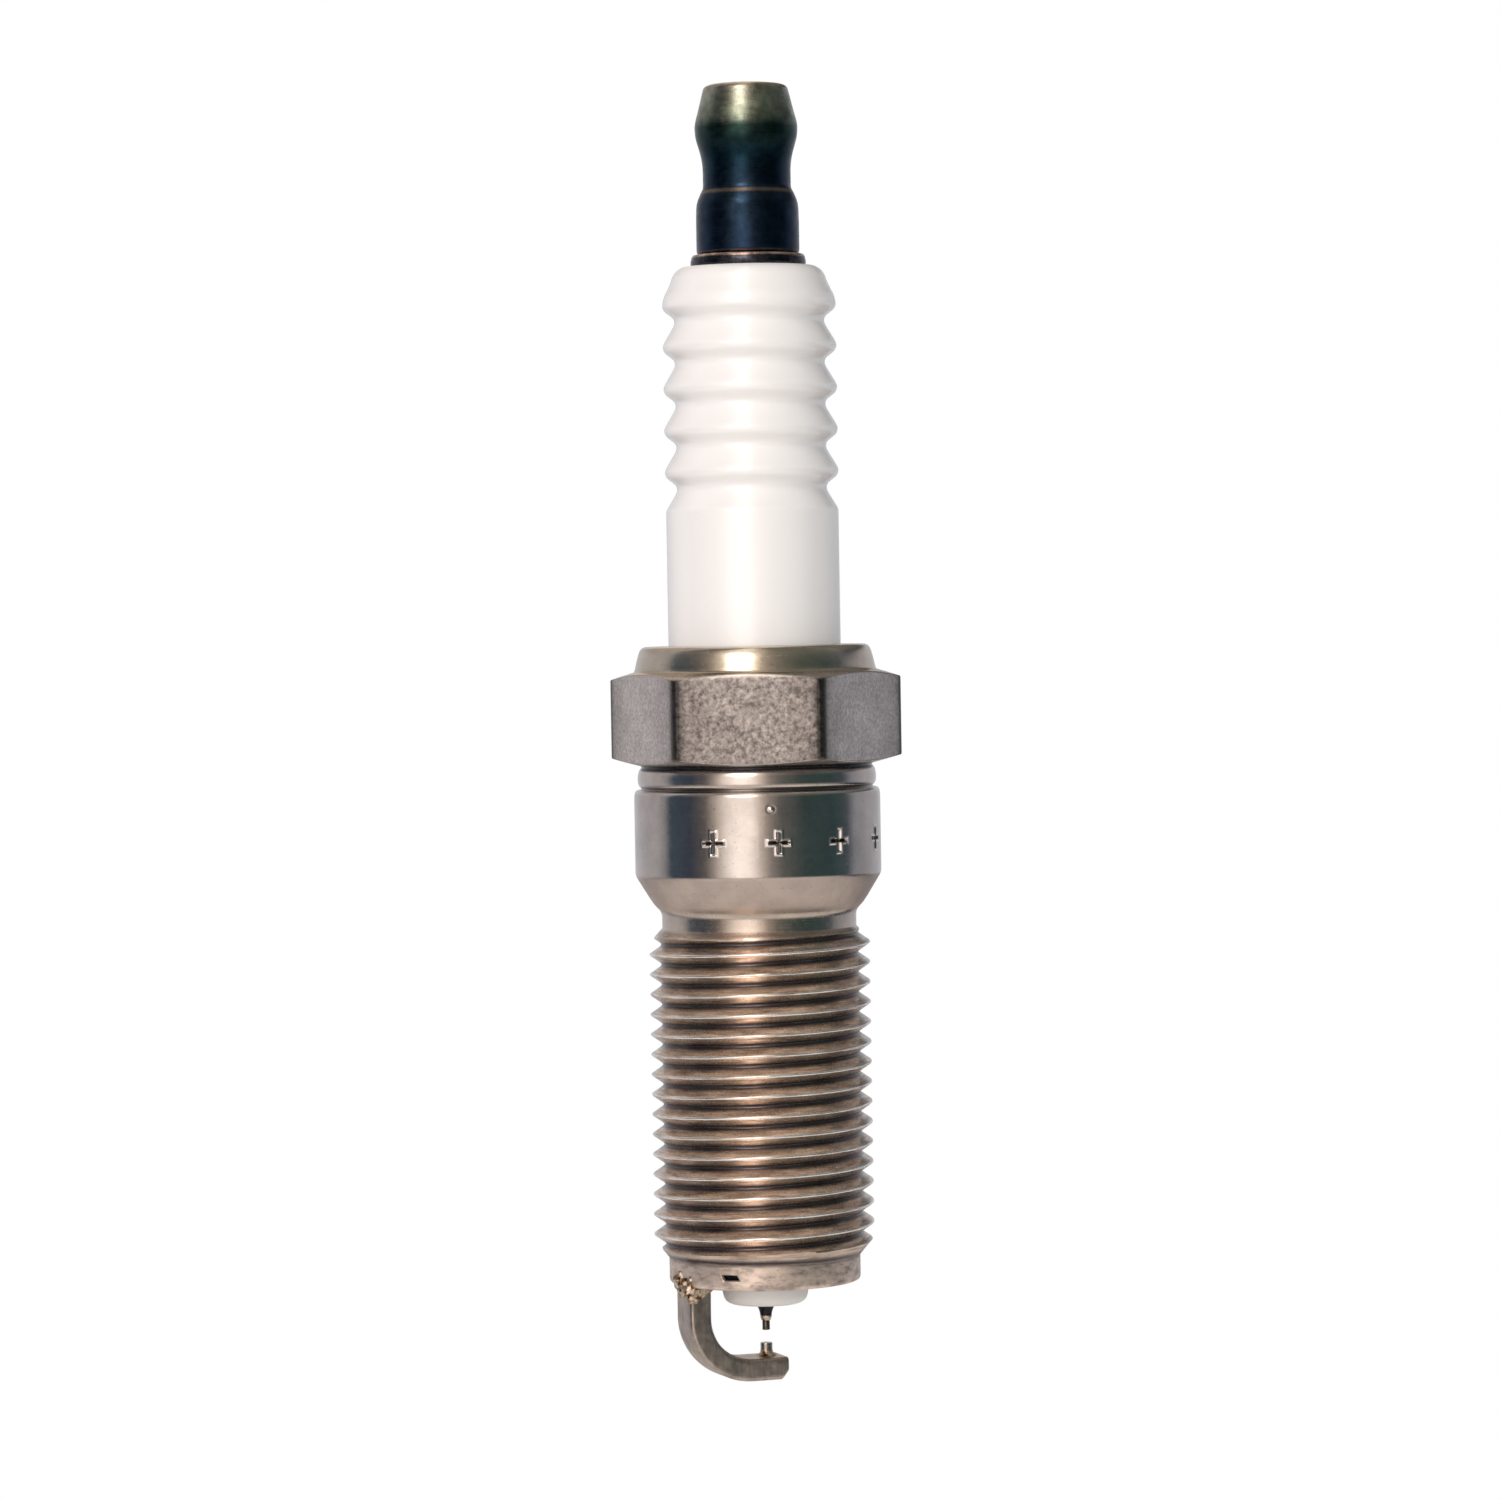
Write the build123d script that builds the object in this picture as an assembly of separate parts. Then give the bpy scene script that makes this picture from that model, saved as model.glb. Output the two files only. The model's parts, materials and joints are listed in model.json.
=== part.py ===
from build123d import *
import math
import os

# Spark plug: M14 x 1.25 thread, 25 mm reach, conical seat, hexagon for a 16 mm socket, removable nut.
# Millimetres. +Z runs from the firing end to the terminal along the plug's axis.
# z = 0 is the gauge plane of the conical seat, where its diameter is 14.8 mm.
# Both threads are drawn as rings one pitch apart, without their lead.

# ---- driving dimensions: metal shell ----
SEAT_GAUGE_R = 7.4
SEAT_HALF_ANGLE = 31.5
CONE_BOTTOM_Z = -1.6
COLLAR_R = 7.69
COLLAR_TOP_Z = 5.8
COLLAR_EDGE = 0.25
RING_NECK_R = 7.31
RING_BULGE_R = 7.45
RING_BULGE_Z = 6.5
REACH = 25.0
THREAD_MAJOR_R = 6.9
THREAD_ROOT_R = 6.17
THREAD_PITCH = 1.25
THREAD_TOP_Z = -2.85
THREAD_BOTTOM_Z = -23.45
NECK_R = 6.07
PILOT_R = 5.98
HEX_ACROSS_FLATS = 15.85
HEX_CORNER_R = 9.07
HEX_SHOULDER_R = 7.6
HEX_FOOT_R = 7.35
HEX_CHAMFER = 0.45
HEX_CROWN = 0.04
HEX_BOTTOM_Z = 7.35
HEX_TOP_Z = 13.15
HEX_FLAT_DEG = 26.5
CRIMP_TOP_Z = 14.75
CRIMP_R = 7.52
LIP_INNER_R = 5.45
SHELL_UPPER_BORE_R = 6.5
SHELL_MIDDLE_BORE_R = 4.75
SHELL_LEDGE_R = 3.85
SHELL_END_BORE_R = 4.25
LEDGE_TOP_Z = -10.6
LEDGE_SLOPE = 0.611
MARK_COUNT = 4
MARK_FIRST_DEG = 249.0
MARK_STEP_DEG = 30.6
MARK_Z = 2.9
MARK_LENGTH = 1.5
MARK_WIDTH = 0.2
MARK_DEPTH = 0.06

# ---- driving dimensions: insulator ----
INSULATOR_TOP_Z = 38.3
INSULATOR_R = 5.38
BARREL_BOTTOM_Z = 14.75
INSULATOR_PACKED_R = 5.15
INSULATOR_FLANGE_R = 6.3
INSULATOR_FLANGE_TOP_Z = 8.3
INSULATOR_FLANGE_BOTTOM_Z = 2.6
INSULATOR_STEM_R = 4.55
INSULATOR_TOP_FACE_R = 4.2
NOSE_END_Z = -26.45
NOSE_END_R = 2.25
NOSE_R_AT_SHELL_END = 2.78
NOSE_ROOT_R = 3.45
RIB_COUNT = 5
RIB_PITCH = 2.6
RIB_TOP_Z = 35.95
RIB_CREST_R = 5.4
RIB_GROOVE_R = 4.68
UPPER_BORE_R = 2.15
LOWER_BORE_R = 1.35
BORE_STEP_Z = -5.6
BORE_STEP_SLOPE = 0.875

# ---- driving dimensions: terminal ----
STUD_R = 2.1
STUD_BOTTOM_Z = 9.4
STUD_FLANGE_R = 3.59
STUD_FLANGE_TOP_Z = 39.08
STUD_THREAD_R = 2.0
STUD_THREAD_ROOT_R = 1.57
STUD_THREAD_PITCH = 0.7
STUD_RELIEF_R = 1.55
STUD_THREAD_BOTTOM_Z = 39.7
STUD_TOP_Z = 47.9
KNURL_COUNT = 6
KNURL_PITCH = 0.7
NUT_BOTTOM_Z = 39.13
NUT_TOP_Z = 49.7
NUT_BORE_R = 2.06
NUT_BORE_TOP_Z = 48.2
NUT_SKIRT_R = 3.21
NUT_WAIST_R = 2.76

# ---- driving dimensions: electrodes ----
ELECTRODE_R = 1.27
ELECTRODE_HEAD_R = 1.95
ELECTRODE_TOP_Z = -4.6
ELECTRODE_END_Z = -27.25
ELECTRODE_END_R = 0.34
ELECTRODE_CORE_R = 0.75
ELECTRODE_CORE_END_Z = -23.5
PIN_R = 0.235
PIN_TIP_Z = -28.15
TIP_WELD_LENGTH = 0.3
SPARK_GAP = 0.8
GROUND_PIN_R = 0.375
STRAP_THICKNESS = 1.4
STRAP_WIDTH = 2.7
STRAP_LEG_R = 4.75
STRAP_ARM_Z = -30.475
STRAP_BEND_R = 3.365
STRAP_TIP_X = -1.0
STRAP_TIP_CHAMFER = 0.45
STRAP_EDGE_R = 0.2
STRAP_AZIMUTH_DEG = 200.0
STRAP_CORE_THICKNESS = 0.5
STRAP_CORE_WIDTH = 1.4
STRAP_CORE_TIP_X = 0.6

# ---- driving dimensions: glass, resistor and packing ----
RESISTOR_BOTTOM_Z = -2.0
RESISTOR_TOP_Z = 6.8
UPPER_SEAL_TOP_Z = 12.5
RING_WIRE_R = 0.5
RING_CENTRE_R = 5.94
UPPER_RING_Z = 13.2
LOWER_RING_Z = 9.0
WASHER_THICKNESS = 0.4

# ---- thread form, as shares of the pitch ----
THREAD_CREST_SHARE = 0.12
THREAD_ROOT_SHARE = 0.13
THREAD_MARGIN = 0.03


def at(radius, height):
    """A point of a turned part's outline."""
    return (radius, 0, height)


def turned(outline):
    """Revolve a closed outline, given as (radius, height) points, about the plug's axis."""
    line = Polyline(*[at(r, z) for r, z in outline], close=True)
    return revolve(make_face(line), Axis.Z)


def turned_curve(curve, last_points):
    """Revolve an outline made of a curve closed by straight runs through (radius, height) points."""
    run = Polyline(curve @ 1, *[at(r, z) for r, z in last_points], curve @ 0)
    return revolve(make_face(curve + run), Axis.Z)


def polar(radius, angle):
    return (radius * math.cos(angle), radius * math.sin(angle))


def ringed_rod(major_r, root_r, pitch, bottom_z, top_z, bottom_r, top_r):
    """A threaded length drawn as rings one pitch apart, its ends chamfered down to plain discs."""
    half_crest = pitch * THREAD_CREST_SHARE / 2
    half_root = pitch * THREAD_ROOT_SHARE / 2
    ring_count = math.ceil((top_z - bottom_z) / pitch) + 1
    rings = []
    for i in range(ring_count):
        crest_z = bottom_z + pitch * i
        root_z = crest_z + pitch / 2
        rings += [(major_r, crest_z - half_crest), (major_r, crest_z + half_crest)]
        rings += [(root_r, root_z - half_root), (root_r, root_z + half_root)]
    bar = turned([(0, bottom_z - half_crest), *rings, (0, rings[-1][1])])
    envelope_r = major_r + THREAD_MARGIN
    envelope = [
        (0, bottom_z),
        (bottom_r, bottom_z),
        (envelope_r, bottom_z + pitch),
        (envelope_r, top_z - pitch),
        (top_r, top_z),
        (0, top_z),
    ]
    return bar & turned(envelope)


# ---- metal shell ----


def shell_head():
    """Crimp lip, ring under the hexagon, collar, conical seat and neck, still solid inside."""
    cone_top_z = (COLLAR_R - SEAT_GAUGE_R) / math.tan(math.radians(SEAT_HALF_ANGLE))
    cone_bottom_r = SEAT_GAUGE_R + CONE_BOTTOM_Z * math.tan(math.radians(SEAT_HALF_ANGLE))
    crimp = ThreePointArc(
        at(CRIMP_R - 0.6, CRIMP_TOP_Z),
        at(CRIMP_R - 0.15, CRIMP_TOP_Z - 0.55),
        at(CRIMP_R, CRIMP_TOP_Z - 1.45),
    )
    outline = [
        (CRIMP_R, HEX_BOTTOM_Z),
        (RING_NECK_R, HEX_BOTTOM_Z - 0.1),
        (RING_NECK_R, RING_BULGE_Z + 0.6),
        (RING_BULGE_R - 0.03, RING_BULGE_Z + 0.3),
        (RING_BULGE_R, RING_BULGE_Z),
        (RING_BULGE_R - 0.08, RING_BULGE_Z - 0.4),
        (RING_NECK_R - 0.15, COLLAR_TOP_Z + 0.15),
        (COLLAR_R - COLLAR_EDGE, COLLAR_TOP_Z),
        (COLLAR_R, COLLAR_TOP_Z - COLLAR_EDGE),
        (COLLAR_R, cone_top_z),
        (cone_bottom_r, CONE_BOTTOM_Z),
        (NECK_R, CONE_BOTTOM_Z - 0.3),
        (NECK_R, THREAD_TOP_Z),
        (0, THREAD_TOP_Z),
        (0, CRIMP_TOP_Z),
    ]
    return turned_curve(crimp, outline)


def hexagon():
    """Hexagon with its corners turned down to a cylinder and its ends turned off with a slight crown."""
    corner_r = HEX_ACROSS_FLATS / 2 / math.cos(math.radians(30))
    corners = [polar(corner_r, math.radians(HEX_FLAT_DEG + 30 + 60 * i)) for i in range(6)]
    prism = extrude(make_face(Polyline(*corners, close=True)), HEX_TOP_Z - HEX_BOTTOM_Z)
    top = ThreePointArc(
        at(HEX_CORNER_R, HEX_TOP_Z - HEX_CHAMFER),
        at((HEX_CORNER_R + HEX_SHOULDER_R) / 2, HEX_TOP_Z - HEX_CHAMFER / 2 + HEX_CROWN),
        at(HEX_SHOULDER_R, HEX_TOP_Z),
    )
    foot = ThreePointArc(
        at(HEX_FOOT_R, HEX_BOTTOM_Z),
        at((HEX_CORNER_R + HEX_FOOT_R) / 2, HEX_BOTTOM_Z + HEX_CHAMFER / 2 - HEX_CROWN),
        at(HEX_CORNER_R, HEX_BOTTOM_Z + HEX_CHAMFER),
    )
    inside = Polyline(top @ 1, at(0, HEX_TOP_Z), at(0, HEX_BOTTOM_Z), foot @ 0)
    side = Line(foot @ 1, top @ 0)
    blank = revolve(make_face(top + inside + foot + side), Axis.Z)
    return Pos(0, 0, HEX_BOTTOM_Z) * prism & blank


def ledge_z(radius):
    """Height of the shell's inner ledge at a radius."""
    return LEDGE_TOP_Z + LEDGE_SLOPE * (radius - SHELL_MIDDLE_BORE_R)


def shell_bore():
    """Everything that is open inside the shell, from the crimp lip to the firing end."""
    return turned([
        (0, CRIMP_TOP_Z + 1),
        (LIP_INNER_R, CRIMP_TOP_Z + 1),
        (LIP_INNER_R, CRIMP_TOP_Z - 0.75),
        (SHELL_UPPER_BORE_R - 0.3, CRIMP_TOP_Z - 0.95),
        (SHELL_UPPER_BORE_R, CRIMP_TOP_Z - 1.4),
        (SHELL_UPPER_BORE_R, 2.0),
        (SHELL_MIDDLE_BORE_R, 0.2),
        (SHELL_MIDDLE_BORE_R, LEDGE_TOP_Z),
        (SHELL_LEDGE_R, ledge_z(SHELL_LEDGE_R)),
        (SHELL_LEDGE_R, -12.6),
        (SHELL_END_BORE_R, -13.1),
        (SHELL_END_BORE_R, 0.15 - REACH),
        (SHELL_END_BORE_R + 0.15, -REACH),
        (SHELL_END_BORE_R + 0.15, -REACH - 1),
        (0, -REACH - 1),
    ])


def stamped_marks():
    """Small plain crosses pressed into the collar."""
    cutters = []
    for i in range(MARK_COUNT):
        place = Rot(0, 0, MARK_FIRST_DEG + MARK_STEP_DEG * i) * Pos(COLLAR_R, 0, MARK_Z)
        cutters.append(place * Box(2 * MARK_DEPTH, MARK_WIDTH, MARK_LENGTH))
        cutters.append(place * Box(2 * MARK_DEPTH, MARK_LENGTH, MARK_WIDTH))
    return cutters


def metal_shell():
    thread = ringed_rod(
        THREAD_MAJOR_R,
        THREAD_ROOT_R,
        THREAD_PITCH,
        THREAD_BOTTOM_Z,
        THREAD_TOP_Z,
        PILOT_R,
        NECK_R,
    )
    pilot = turned([
        (0, THREAD_BOTTOM_Z),
        (PILOT_R, THREAD_BOTTOM_Z),
        (PILOT_R, 0.2 - REACH),
        (PILOT_R - 0.2, -REACH),
        (0, -REACH),
    ])
    shell = thread + shell_head() + pilot + hexagon() - shell_bore()
    for cutter in stamped_marks():
        shell = shell - cutter
    return shell


# ---- insulator ----


def rib_points():
    """Outline of the ribs: a rounded crest, a short steep underside and a long slope to the next crest."""
    depth = RIB_CREST_R - RIB_GROOVE_R
    shape = [(0.0, 0.0), (0.13, 0.2), (0.28, 0.85), (0.385, 1.0), (0.5, 0.9), (0.76, 0.36), (0.9, 0.08)]
    points = []
    for rib in range(RIB_COUNT):
        crest_z = RIB_TOP_Z - RIB_PITCH * rib
        points += [at(RIB_CREST_R - depth * d, crest_z - RIB_PITCH * s) for s, d in shape]
    return points


def insulator():
    shoulder = [at(4.5, 38.1), at(4.73, 37.8), at(4.88, 37.4), at(5.08, 36.95), at(5.3, 36.5)]
    barrel_top = at(INSULATOR_R, RIB_TOP_Z - RIB_PITCH * RIB_COUNT - 0.15)
    ribs = Spline(at(INSULATOR_TOP_FACE_R, INSULATOR_TOP_Z), *shoulder, *rib_points(), barrel_top)
    step_r = INSULATOR_STEM_R
    outline = [
        (INSULATOR_R, BARREL_BOTTOM_Z),
        (INSULATOR_PACKED_R, BARREL_BOTTOM_Z - 0.1),
        (INSULATOR_PACKED_R, INSULATOR_FLANGE_TOP_Z + 0.3),
        (INSULATOR_FLANGE_R, INSULATOR_FLANGE_TOP_Z),
        (INSULATOR_FLANGE_R, INSULATOR_FLANGE_BOTTOM_Z),
        (step_r, INSULATOR_FLANGE_BOTTOM_Z - 1.75),
        (step_r, ledge_z(step_r) + WASHER_THICKNESS),
        (NOSE_ROOT_R, ledge_z(NOSE_ROOT_R) + WASHER_THICKNESS),
        (NOSE_ROOT_R - 0.15, -12.6),
        (NOSE_R_AT_SHELL_END, -REACH),
        (NOSE_R_AT_SHELL_END - 0.12, NOSE_END_Z + 0.5),
        (NOSE_END_R + 0.15, NOSE_END_Z + 0.12),
        (NOSE_END_R, NOSE_END_Z),
        (LOWER_BORE_R, NOSE_END_Z),
        (LOWER_BORE_R, bore_step_z(LOWER_BORE_R)),
        (UPPER_BORE_R, BORE_STEP_Z),
        (UPPER_BORE_R, INSULATOR_TOP_Z),
    ]
    return turned_curve(ribs, outline)


def bore_step_z(radius):
    """Height of the conical step in the insulator's bore at a radius."""
    return BORE_STEP_Z - BORE_STEP_SLOPE * (UPPER_BORE_R - radius)


# ---- terminal ----


def terminal_stud():
    """Shank in the insulator's bore, flange on its top face and threaded post above."""
    shank_bottom = [(0, STUD_BOTTOM_Z), (STUD_R - 0.3, STUD_BOTTOM_Z), (STUD_R, STUD_BOTTOM_Z + 0.3)]
    grooves = []
    for i in range(KNURL_COUNT):
        groove_z = STUD_BOTTOM_Z + 0.6 + KNURL_PITCH * i
        grooves += [(STUD_R, groove_z - 0.12), (STUD_R - 0.2, groove_z), (STUD_R, groove_z + 0.12)]
    flange_edge = 0.18
    above = [
        (STUD_R, INSULATOR_TOP_Z),
        (STUD_FLANGE_R - flange_edge, INSULATOR_TOP_Z),
        (STUD_FLANGE_R, INSULATOR_TOP_Z + flange_edge),
        (STUD_FLANGE_R, STUD_FLANGE_TOP_Z - flange_edge),
        (STUD_FLANGE_R - flange_edge, STUD_FLANGE_TOP_Z),
        (STUD_RELIEF_R, STUD_FLANGE_TOP_Z),
        (STUD_RELIEF_R, STUD_THREAD_BOTTOM_Z),
        (0, STUD_THREAD_BOTTOM_Z),
    ]
    post = ringed_rod(
        STUD_THREAD_R,
        STUD_THREAD_ROOT_R,
        STUD_THREAD_PITCH,
        STUD_THREAD_BOTTOM_Z,
        STUD_TOP_Z,
        STUD_RELIEF_R,
        STUD_RELIEF_R - 0.1,
    )
    return turned(shank_bottom + grooves + above) + post


def terminal_nut():
    """Push-on terminal: rounded head, waist and skirt, with a blind bore for the stud."""
    side = Spline(
        at(2.35, NUT_TOP_Z),
        at(2.62, NUT_TOP_Z - 0.25),
        at(2.96, NUT_TOP_Z - 1.25),
        at(3.21, NUT_TOP_Z - 2.45),
        at(3.21, NUT_TOP_Z - 3.1),
        at(2.89, NUT_TOP_Z - 4.3),
        at(NUT_WAIST_R, NUT_TOP_Z - 5.3),
        at(NUT_WAIST_R, NUT_TOP_Z - 6.2),
        at(3.03, NUT_TOP_Z - 7.05),
        at(NUT_SKIRT_R, NUT_TOP_Z - 8.3),
    )
    outline = [
        (NUT_SKIRT_R, NUT_BOTTOM_Z + 0.12),
        (NUT_SKIRT_R - 0.12, NUT_BOTTOM_Z),
        (NUT_BORE_R + 0.35, NUT_BOTTOM_Z),
        (NUT_BORE_R, NUT_BOTTOM_Z + 0.35),
        (NUT_BORE_R, NUT_BORE_TOP_Z),
        (0, NUT_BORE_TOP_Z + 0.5),
        (0, NUT_TOP_Z),
    ]
    return turned_curve(side, outline)


# ---- packing, glass and resistor ----


def packing_ring(height):
    """Round wire ring between the shell's bore and the insulator."""
    circle = Plane.XZ * Pos(RING_CENTRE_R, height) * Circle(RING_WIRE_R)
    return revolve(circle, Axis.Z)


def talc_seal():
    top_z = UPPER_RING_Z - RING_WIRE_R - 0.02
    bottom_z = LOWER_RING_Z + RING_WIRE_R + 0.02
    outer_r = SHELL_UPPER_BORE_R - 0.03
    inner_r = INSULATOR_PACKED_R + 0.03
    return turned([(inner_r, bottom_z), (outer_r, bottom_z), (outer_r, top_z), (inner_r, top_z)])


def seat_packing_washer():
    """Conical washer that seals the insulator's step against the shell's ledge."""
    inner_r = SHELL_LEDGE_R + 0.05
    outer_r = INSULATOR_STEM_R
    bottom = [(inner_r, ledge_z(inner_r)), (outer_r, ledge_z(outer_r))]
    top = [(outer_r, ledge_z(outer_r) + WASHER_THICKNESS), (inner_r, ledge_z(inner_r) + WASHER_THICKNESS)]
    return turned(bottom + top)


def bore_fill(bottom_z, top_z):
    """A plug of material that fills the insulator's upper bore."""
    return turned([(0, bottom_z), (UPPER_BORE_R, bottom_z), (UPPER_BORE_R, top_z), (0, top_z)])


# ---- centre electrode ----


def centre_electrode_core():
    return turned([
        (0, ELECTRODE_CORE_END_Z),
        (ELECTRODE_CORE_R - 0.3, ELECTRODE_CORE_END_Z),
        (ELECTRODE_CORE_R, ELECTRODE_CORE_END_Z + 0.6),
        (ELECTRODE_CORE_R, ELECTRODE_TOP_Z),
        (0, ELECTRODE_TOP_Z),
    ])


def centre_electrode(core):
    """Nickel jacket: head on the bore's step, shank, thin end and the hollowed cone for the pin."""
    cone = Spline(at(1.05, -26.1), at(0.75, -26.5), at(0.5, -26.9), at(ELECTRODE_END_R, ELECTRODE_END_Z))
    outline = [
        (0, ELECTRODE_END_Z),
        (0, ELECTRODE_TOP_Z),
        (ELECTRODE_HEAD_R - 0.4, ELECTRODE_TOP_Z),
        (ELECTRODE_HEAD_R, ELECTRODE_TOP_Z - 0.4),
        (ELECTRODE_HEAD_R, bore_step_z(ELECTRODE_HEAD_R)),
        (ELECTRODE_R, bore_step_z(ELECTRODE_R)),
        (ELECTRODE_R, -25.3),
        (1.05, -25.5),
    ]
    return turned_curve(cone, outline) - core


def centre_tip_weld():
    top_z = ELECTRODE_END_Z
    bottom_z = top_z - TIP_WELD_LENGTH
    bulge = ThreePointArc(at(ELECTRODE_END_R, top_z), at(0.32, (top_z + bottom_z) / 2), at(0.26, bottom_z))
    return turned_curve(bulge, [(0, bottom_z), (0, top_z)])


def iridium_tip():
    top_z = ELECTRODE_END_Z - TIP_WELD_LENGTH
    return turned([(0, PIN_TIP_Z), (PIN_R, PIN_TIP_Z), (PIN_R, top_z), (0, top_z)])


# ---- ground electrode ----


def bend_arc(start, end, radius):
    """Quarter bend about the strap's bend centre, from one outline point to the next."""
    middle_x = STRAP_LEG_R - STRAP_BEND_R + radius * math.sqrt(0.5)
    middle_z = STRAP_ARM_Z + STRAP_BEND_R - radius * math.sqrt(0.5)
    return ThreePointArc(start, at(middle_x, middle_z), end)


def strap_solid(thickness, width, tip_x, chamfer_size):
    """Strap whose leg stands on the +X side: leg, bend and arm, cut from its side view."""
    half = thickness / 2
    bend_x = STRAP_LEG_R - STRAP_BEND_R
    bend_z = STRAP_ARM_Z + STRAP_BEND_R
    arm_bottom_z = STRAP_ARM_Z - half
    arm_top_z = STRAP_ARM_Z + half
    leg_outer = at(STRAP_LEG_R + half, bend_z)
    leg_inner = at(STRAP_LEG_R - half, bend_z)
    tip = Polyline(
        at(bend_x, arm_bottom_z),
        at(tip_x + chamfer_size, arm_bottom_z),
        at(tip_x, arm_bottom_z + chamfer_size),
        at(tip_x, arm_top_z),
        at(bend_x, arm_top_z),
    )
    inner = bend_arc(tip @ 1, leg_inner, STRAP_BEND_R - half)
    leg = Polyline(leg_inner, at(STRAP_LEG_R - half, -REACH), at(STRAP_LEG_R + half, -REACH), leg_outer)
    outer = bend_arc(leg_outer, tip @ 0, STRAP_BEND_R + half)
    side = make_face(tip + inner + leg + outer)
    return extrude(side, amount=width / 2, both=True)


def ground_electrode_core():
    return strap_solid(STRAP_CORE_THICKNESS, STRAP_CORE_WIDTH, STRAP_CORE_TIP_X, 0.1)


def ground_strap_blank():
    blank = strap_solid(STRAP_THICKNESS, STRAP_WIDTH, STRAP_TIP_X, STRAP_TIP_CHAMFER)
    sides = blank.faces().filter_by(Axis.Y)
    return fillet([edge for side in sides for edge in side.edges()], STRAP_EDGE_R)


def ground_root_weld(strap):
    """Flash squeezed out round the strap where it is welded to the shell's end."""
    foot = Pos(STRAP_LEG_R + 0.02, 0, -REACH) * Rot(180, 0, 0) * Rectangle(1.95, 3.4)
    flash = extrude(foot, amount=0.5, taper=30)
    return flash - strap


def platinum_pin():
    top_z = PIN_TIP_Z - SPARK_GAP
    bottom_z = STRAP_ARM_Z + STRAP_THICKNESS / 2
    return turned([(0, bottom_z), (GROUND_PIN_R, bottom_z), (GROUND_PIN_R, top_z), (0, top_z)])


def pin_weld():
    """Flared foot of melted metal round the ground pin."""
    foot_z = STRAP_ARM_Z + STRAP_THICKNESS / 2
    flare = Spline(
        at(GROUND_PIN_R + 0.25, foot_z),
        at(GROUND_PIN_R + 0.1, foot_z + 0.12),
        at(GROUND_PIN_R, foot_z + 0.4),
    )
    return turned_curve(flare, [(GROUND_PIN_R, foot_z)])


def build_parts():
    """Every piece of the plug by name, placed where it sits in the finished plug."""
    to_strap_side = Rot(0, 0, STRAP_AZIMUTH_DEG)
    stud = terminal_stud()
    electrode_core = centre_electrode_core()
    electrode = centre_electrode(electrode_core)
    strap_core = ground_electrode_core()
    strap_blank = ground_strap_blank()
    filled_electrode = electrode + electrode_core
    return {
        "terminal_nut": terminal_nut(),
        "terminal_stud": stud,
        "insulator": insulator(),
        "metal_shell": metal_shell(),
        "upper_packing_ring": packing_ring(UPPER_RING_Z),
        "talc_seal": talc_seal(),
        "lower_packing_ring": packing_ring(LOWER_RING_Z),
        "seat_packing_washer": seat_packing_washer(),
        "upper_glass_seal": bore_fill(RESISTOR_TOP_Z, UPPER_SEAL_TOP_Z) - stud,
        "resistor": bore_fill(RESISTOR_BOTTOM_Z, RESISTOR_TOP_Z),
        "lower_glass_seal": bore_fill(BORE_STEP_Z, RESISTOR_BOTTOM_Z) - filled_electrode,
        "centre_electrode": electrode,
        "centre_electrode_core": electrode_core,
        "centre_tip_weld": centre_tip_weld(),
        "iridium_tip": iridium_tip(),
        "ground_electrode": to_strap_side * (strap_blank - strap_core),
        "ground_electrode_core": to_strap_side * strap_core,
        "ground_root_weld": to_strap_side * ground_root_weld(strap_blank),
        "platinum_pin": platinum_pin(),
        "pin_weld": pin_weld(),
    }


os.makedirs("parts", exist_ok=True)
for node_name, node_shape in build_parts().items():
    export_step(node_shape, f"parts/{node_name}.step")
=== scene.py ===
import json
import math

import bmesh
import bpy
from mathutils import Matrix, Vector, noise


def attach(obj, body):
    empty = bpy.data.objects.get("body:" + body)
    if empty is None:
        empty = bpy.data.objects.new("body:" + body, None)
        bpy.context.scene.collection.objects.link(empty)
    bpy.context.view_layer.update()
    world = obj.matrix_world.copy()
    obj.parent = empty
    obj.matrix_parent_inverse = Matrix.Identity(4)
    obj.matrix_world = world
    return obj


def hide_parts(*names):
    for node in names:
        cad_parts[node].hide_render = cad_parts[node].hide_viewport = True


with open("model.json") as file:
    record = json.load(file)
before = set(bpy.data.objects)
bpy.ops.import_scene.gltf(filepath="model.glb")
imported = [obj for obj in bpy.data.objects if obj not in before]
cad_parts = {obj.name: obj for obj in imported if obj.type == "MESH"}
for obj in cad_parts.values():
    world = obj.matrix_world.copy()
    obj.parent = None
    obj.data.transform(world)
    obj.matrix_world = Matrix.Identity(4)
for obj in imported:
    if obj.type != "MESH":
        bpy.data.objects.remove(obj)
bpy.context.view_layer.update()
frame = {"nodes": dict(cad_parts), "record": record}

MM = 0.001
MERGE_MM = 0.0004

# ---- sizes of the plug in millimetres, z = 0 at the conical seat's gauge plane ----
PITCH = 1.25
THREAD_TOP_Z = -2.85
THREAD_BOTTOM_Z = -23.45
THREAD_MAJOR_R = 6.9
THREAD_ROOT_R = 6.17
THREAD_CREST_Z = -5.12
NECK_R = 6.07
PILOT_R = 5.98
END_Z = -25.0
SHELL_BORE_R = 4.25
SHELL_LEDGE_R = 3.85
COLLAR_R = 7.69
COLLAR_EDGE_TOP_Z = 5.1
RING_BULGE_R = 7.45
RING_BULGE_Z = 6.5
CRIMP_LIP_R = 5.45
CRIMP_FOOT_R = 7.62
CRIMP_TOP_Z = 14.75
HEX_FLAT_R = 7.925
HEX_CORNER_R = 9.07
HEX_SHOULDER_R = 7.6
HEX_FOOT_R = 7.35
HEX_CHAMFER = 0.45
HEX_BOTTOM_Z = 7.35
HEX_TOP_Z = 13.15
HEX_FLAT_DEG = 26.5
HEX_FRONT_DEG = HEX_FLAT_DEG + 240
MARK_Z = 2.7
MARK_DEG = [249.0 + 30.6 * i for i in range(4)]
DOT_Z = 4.75
DOT_DEG = 276.1
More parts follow.
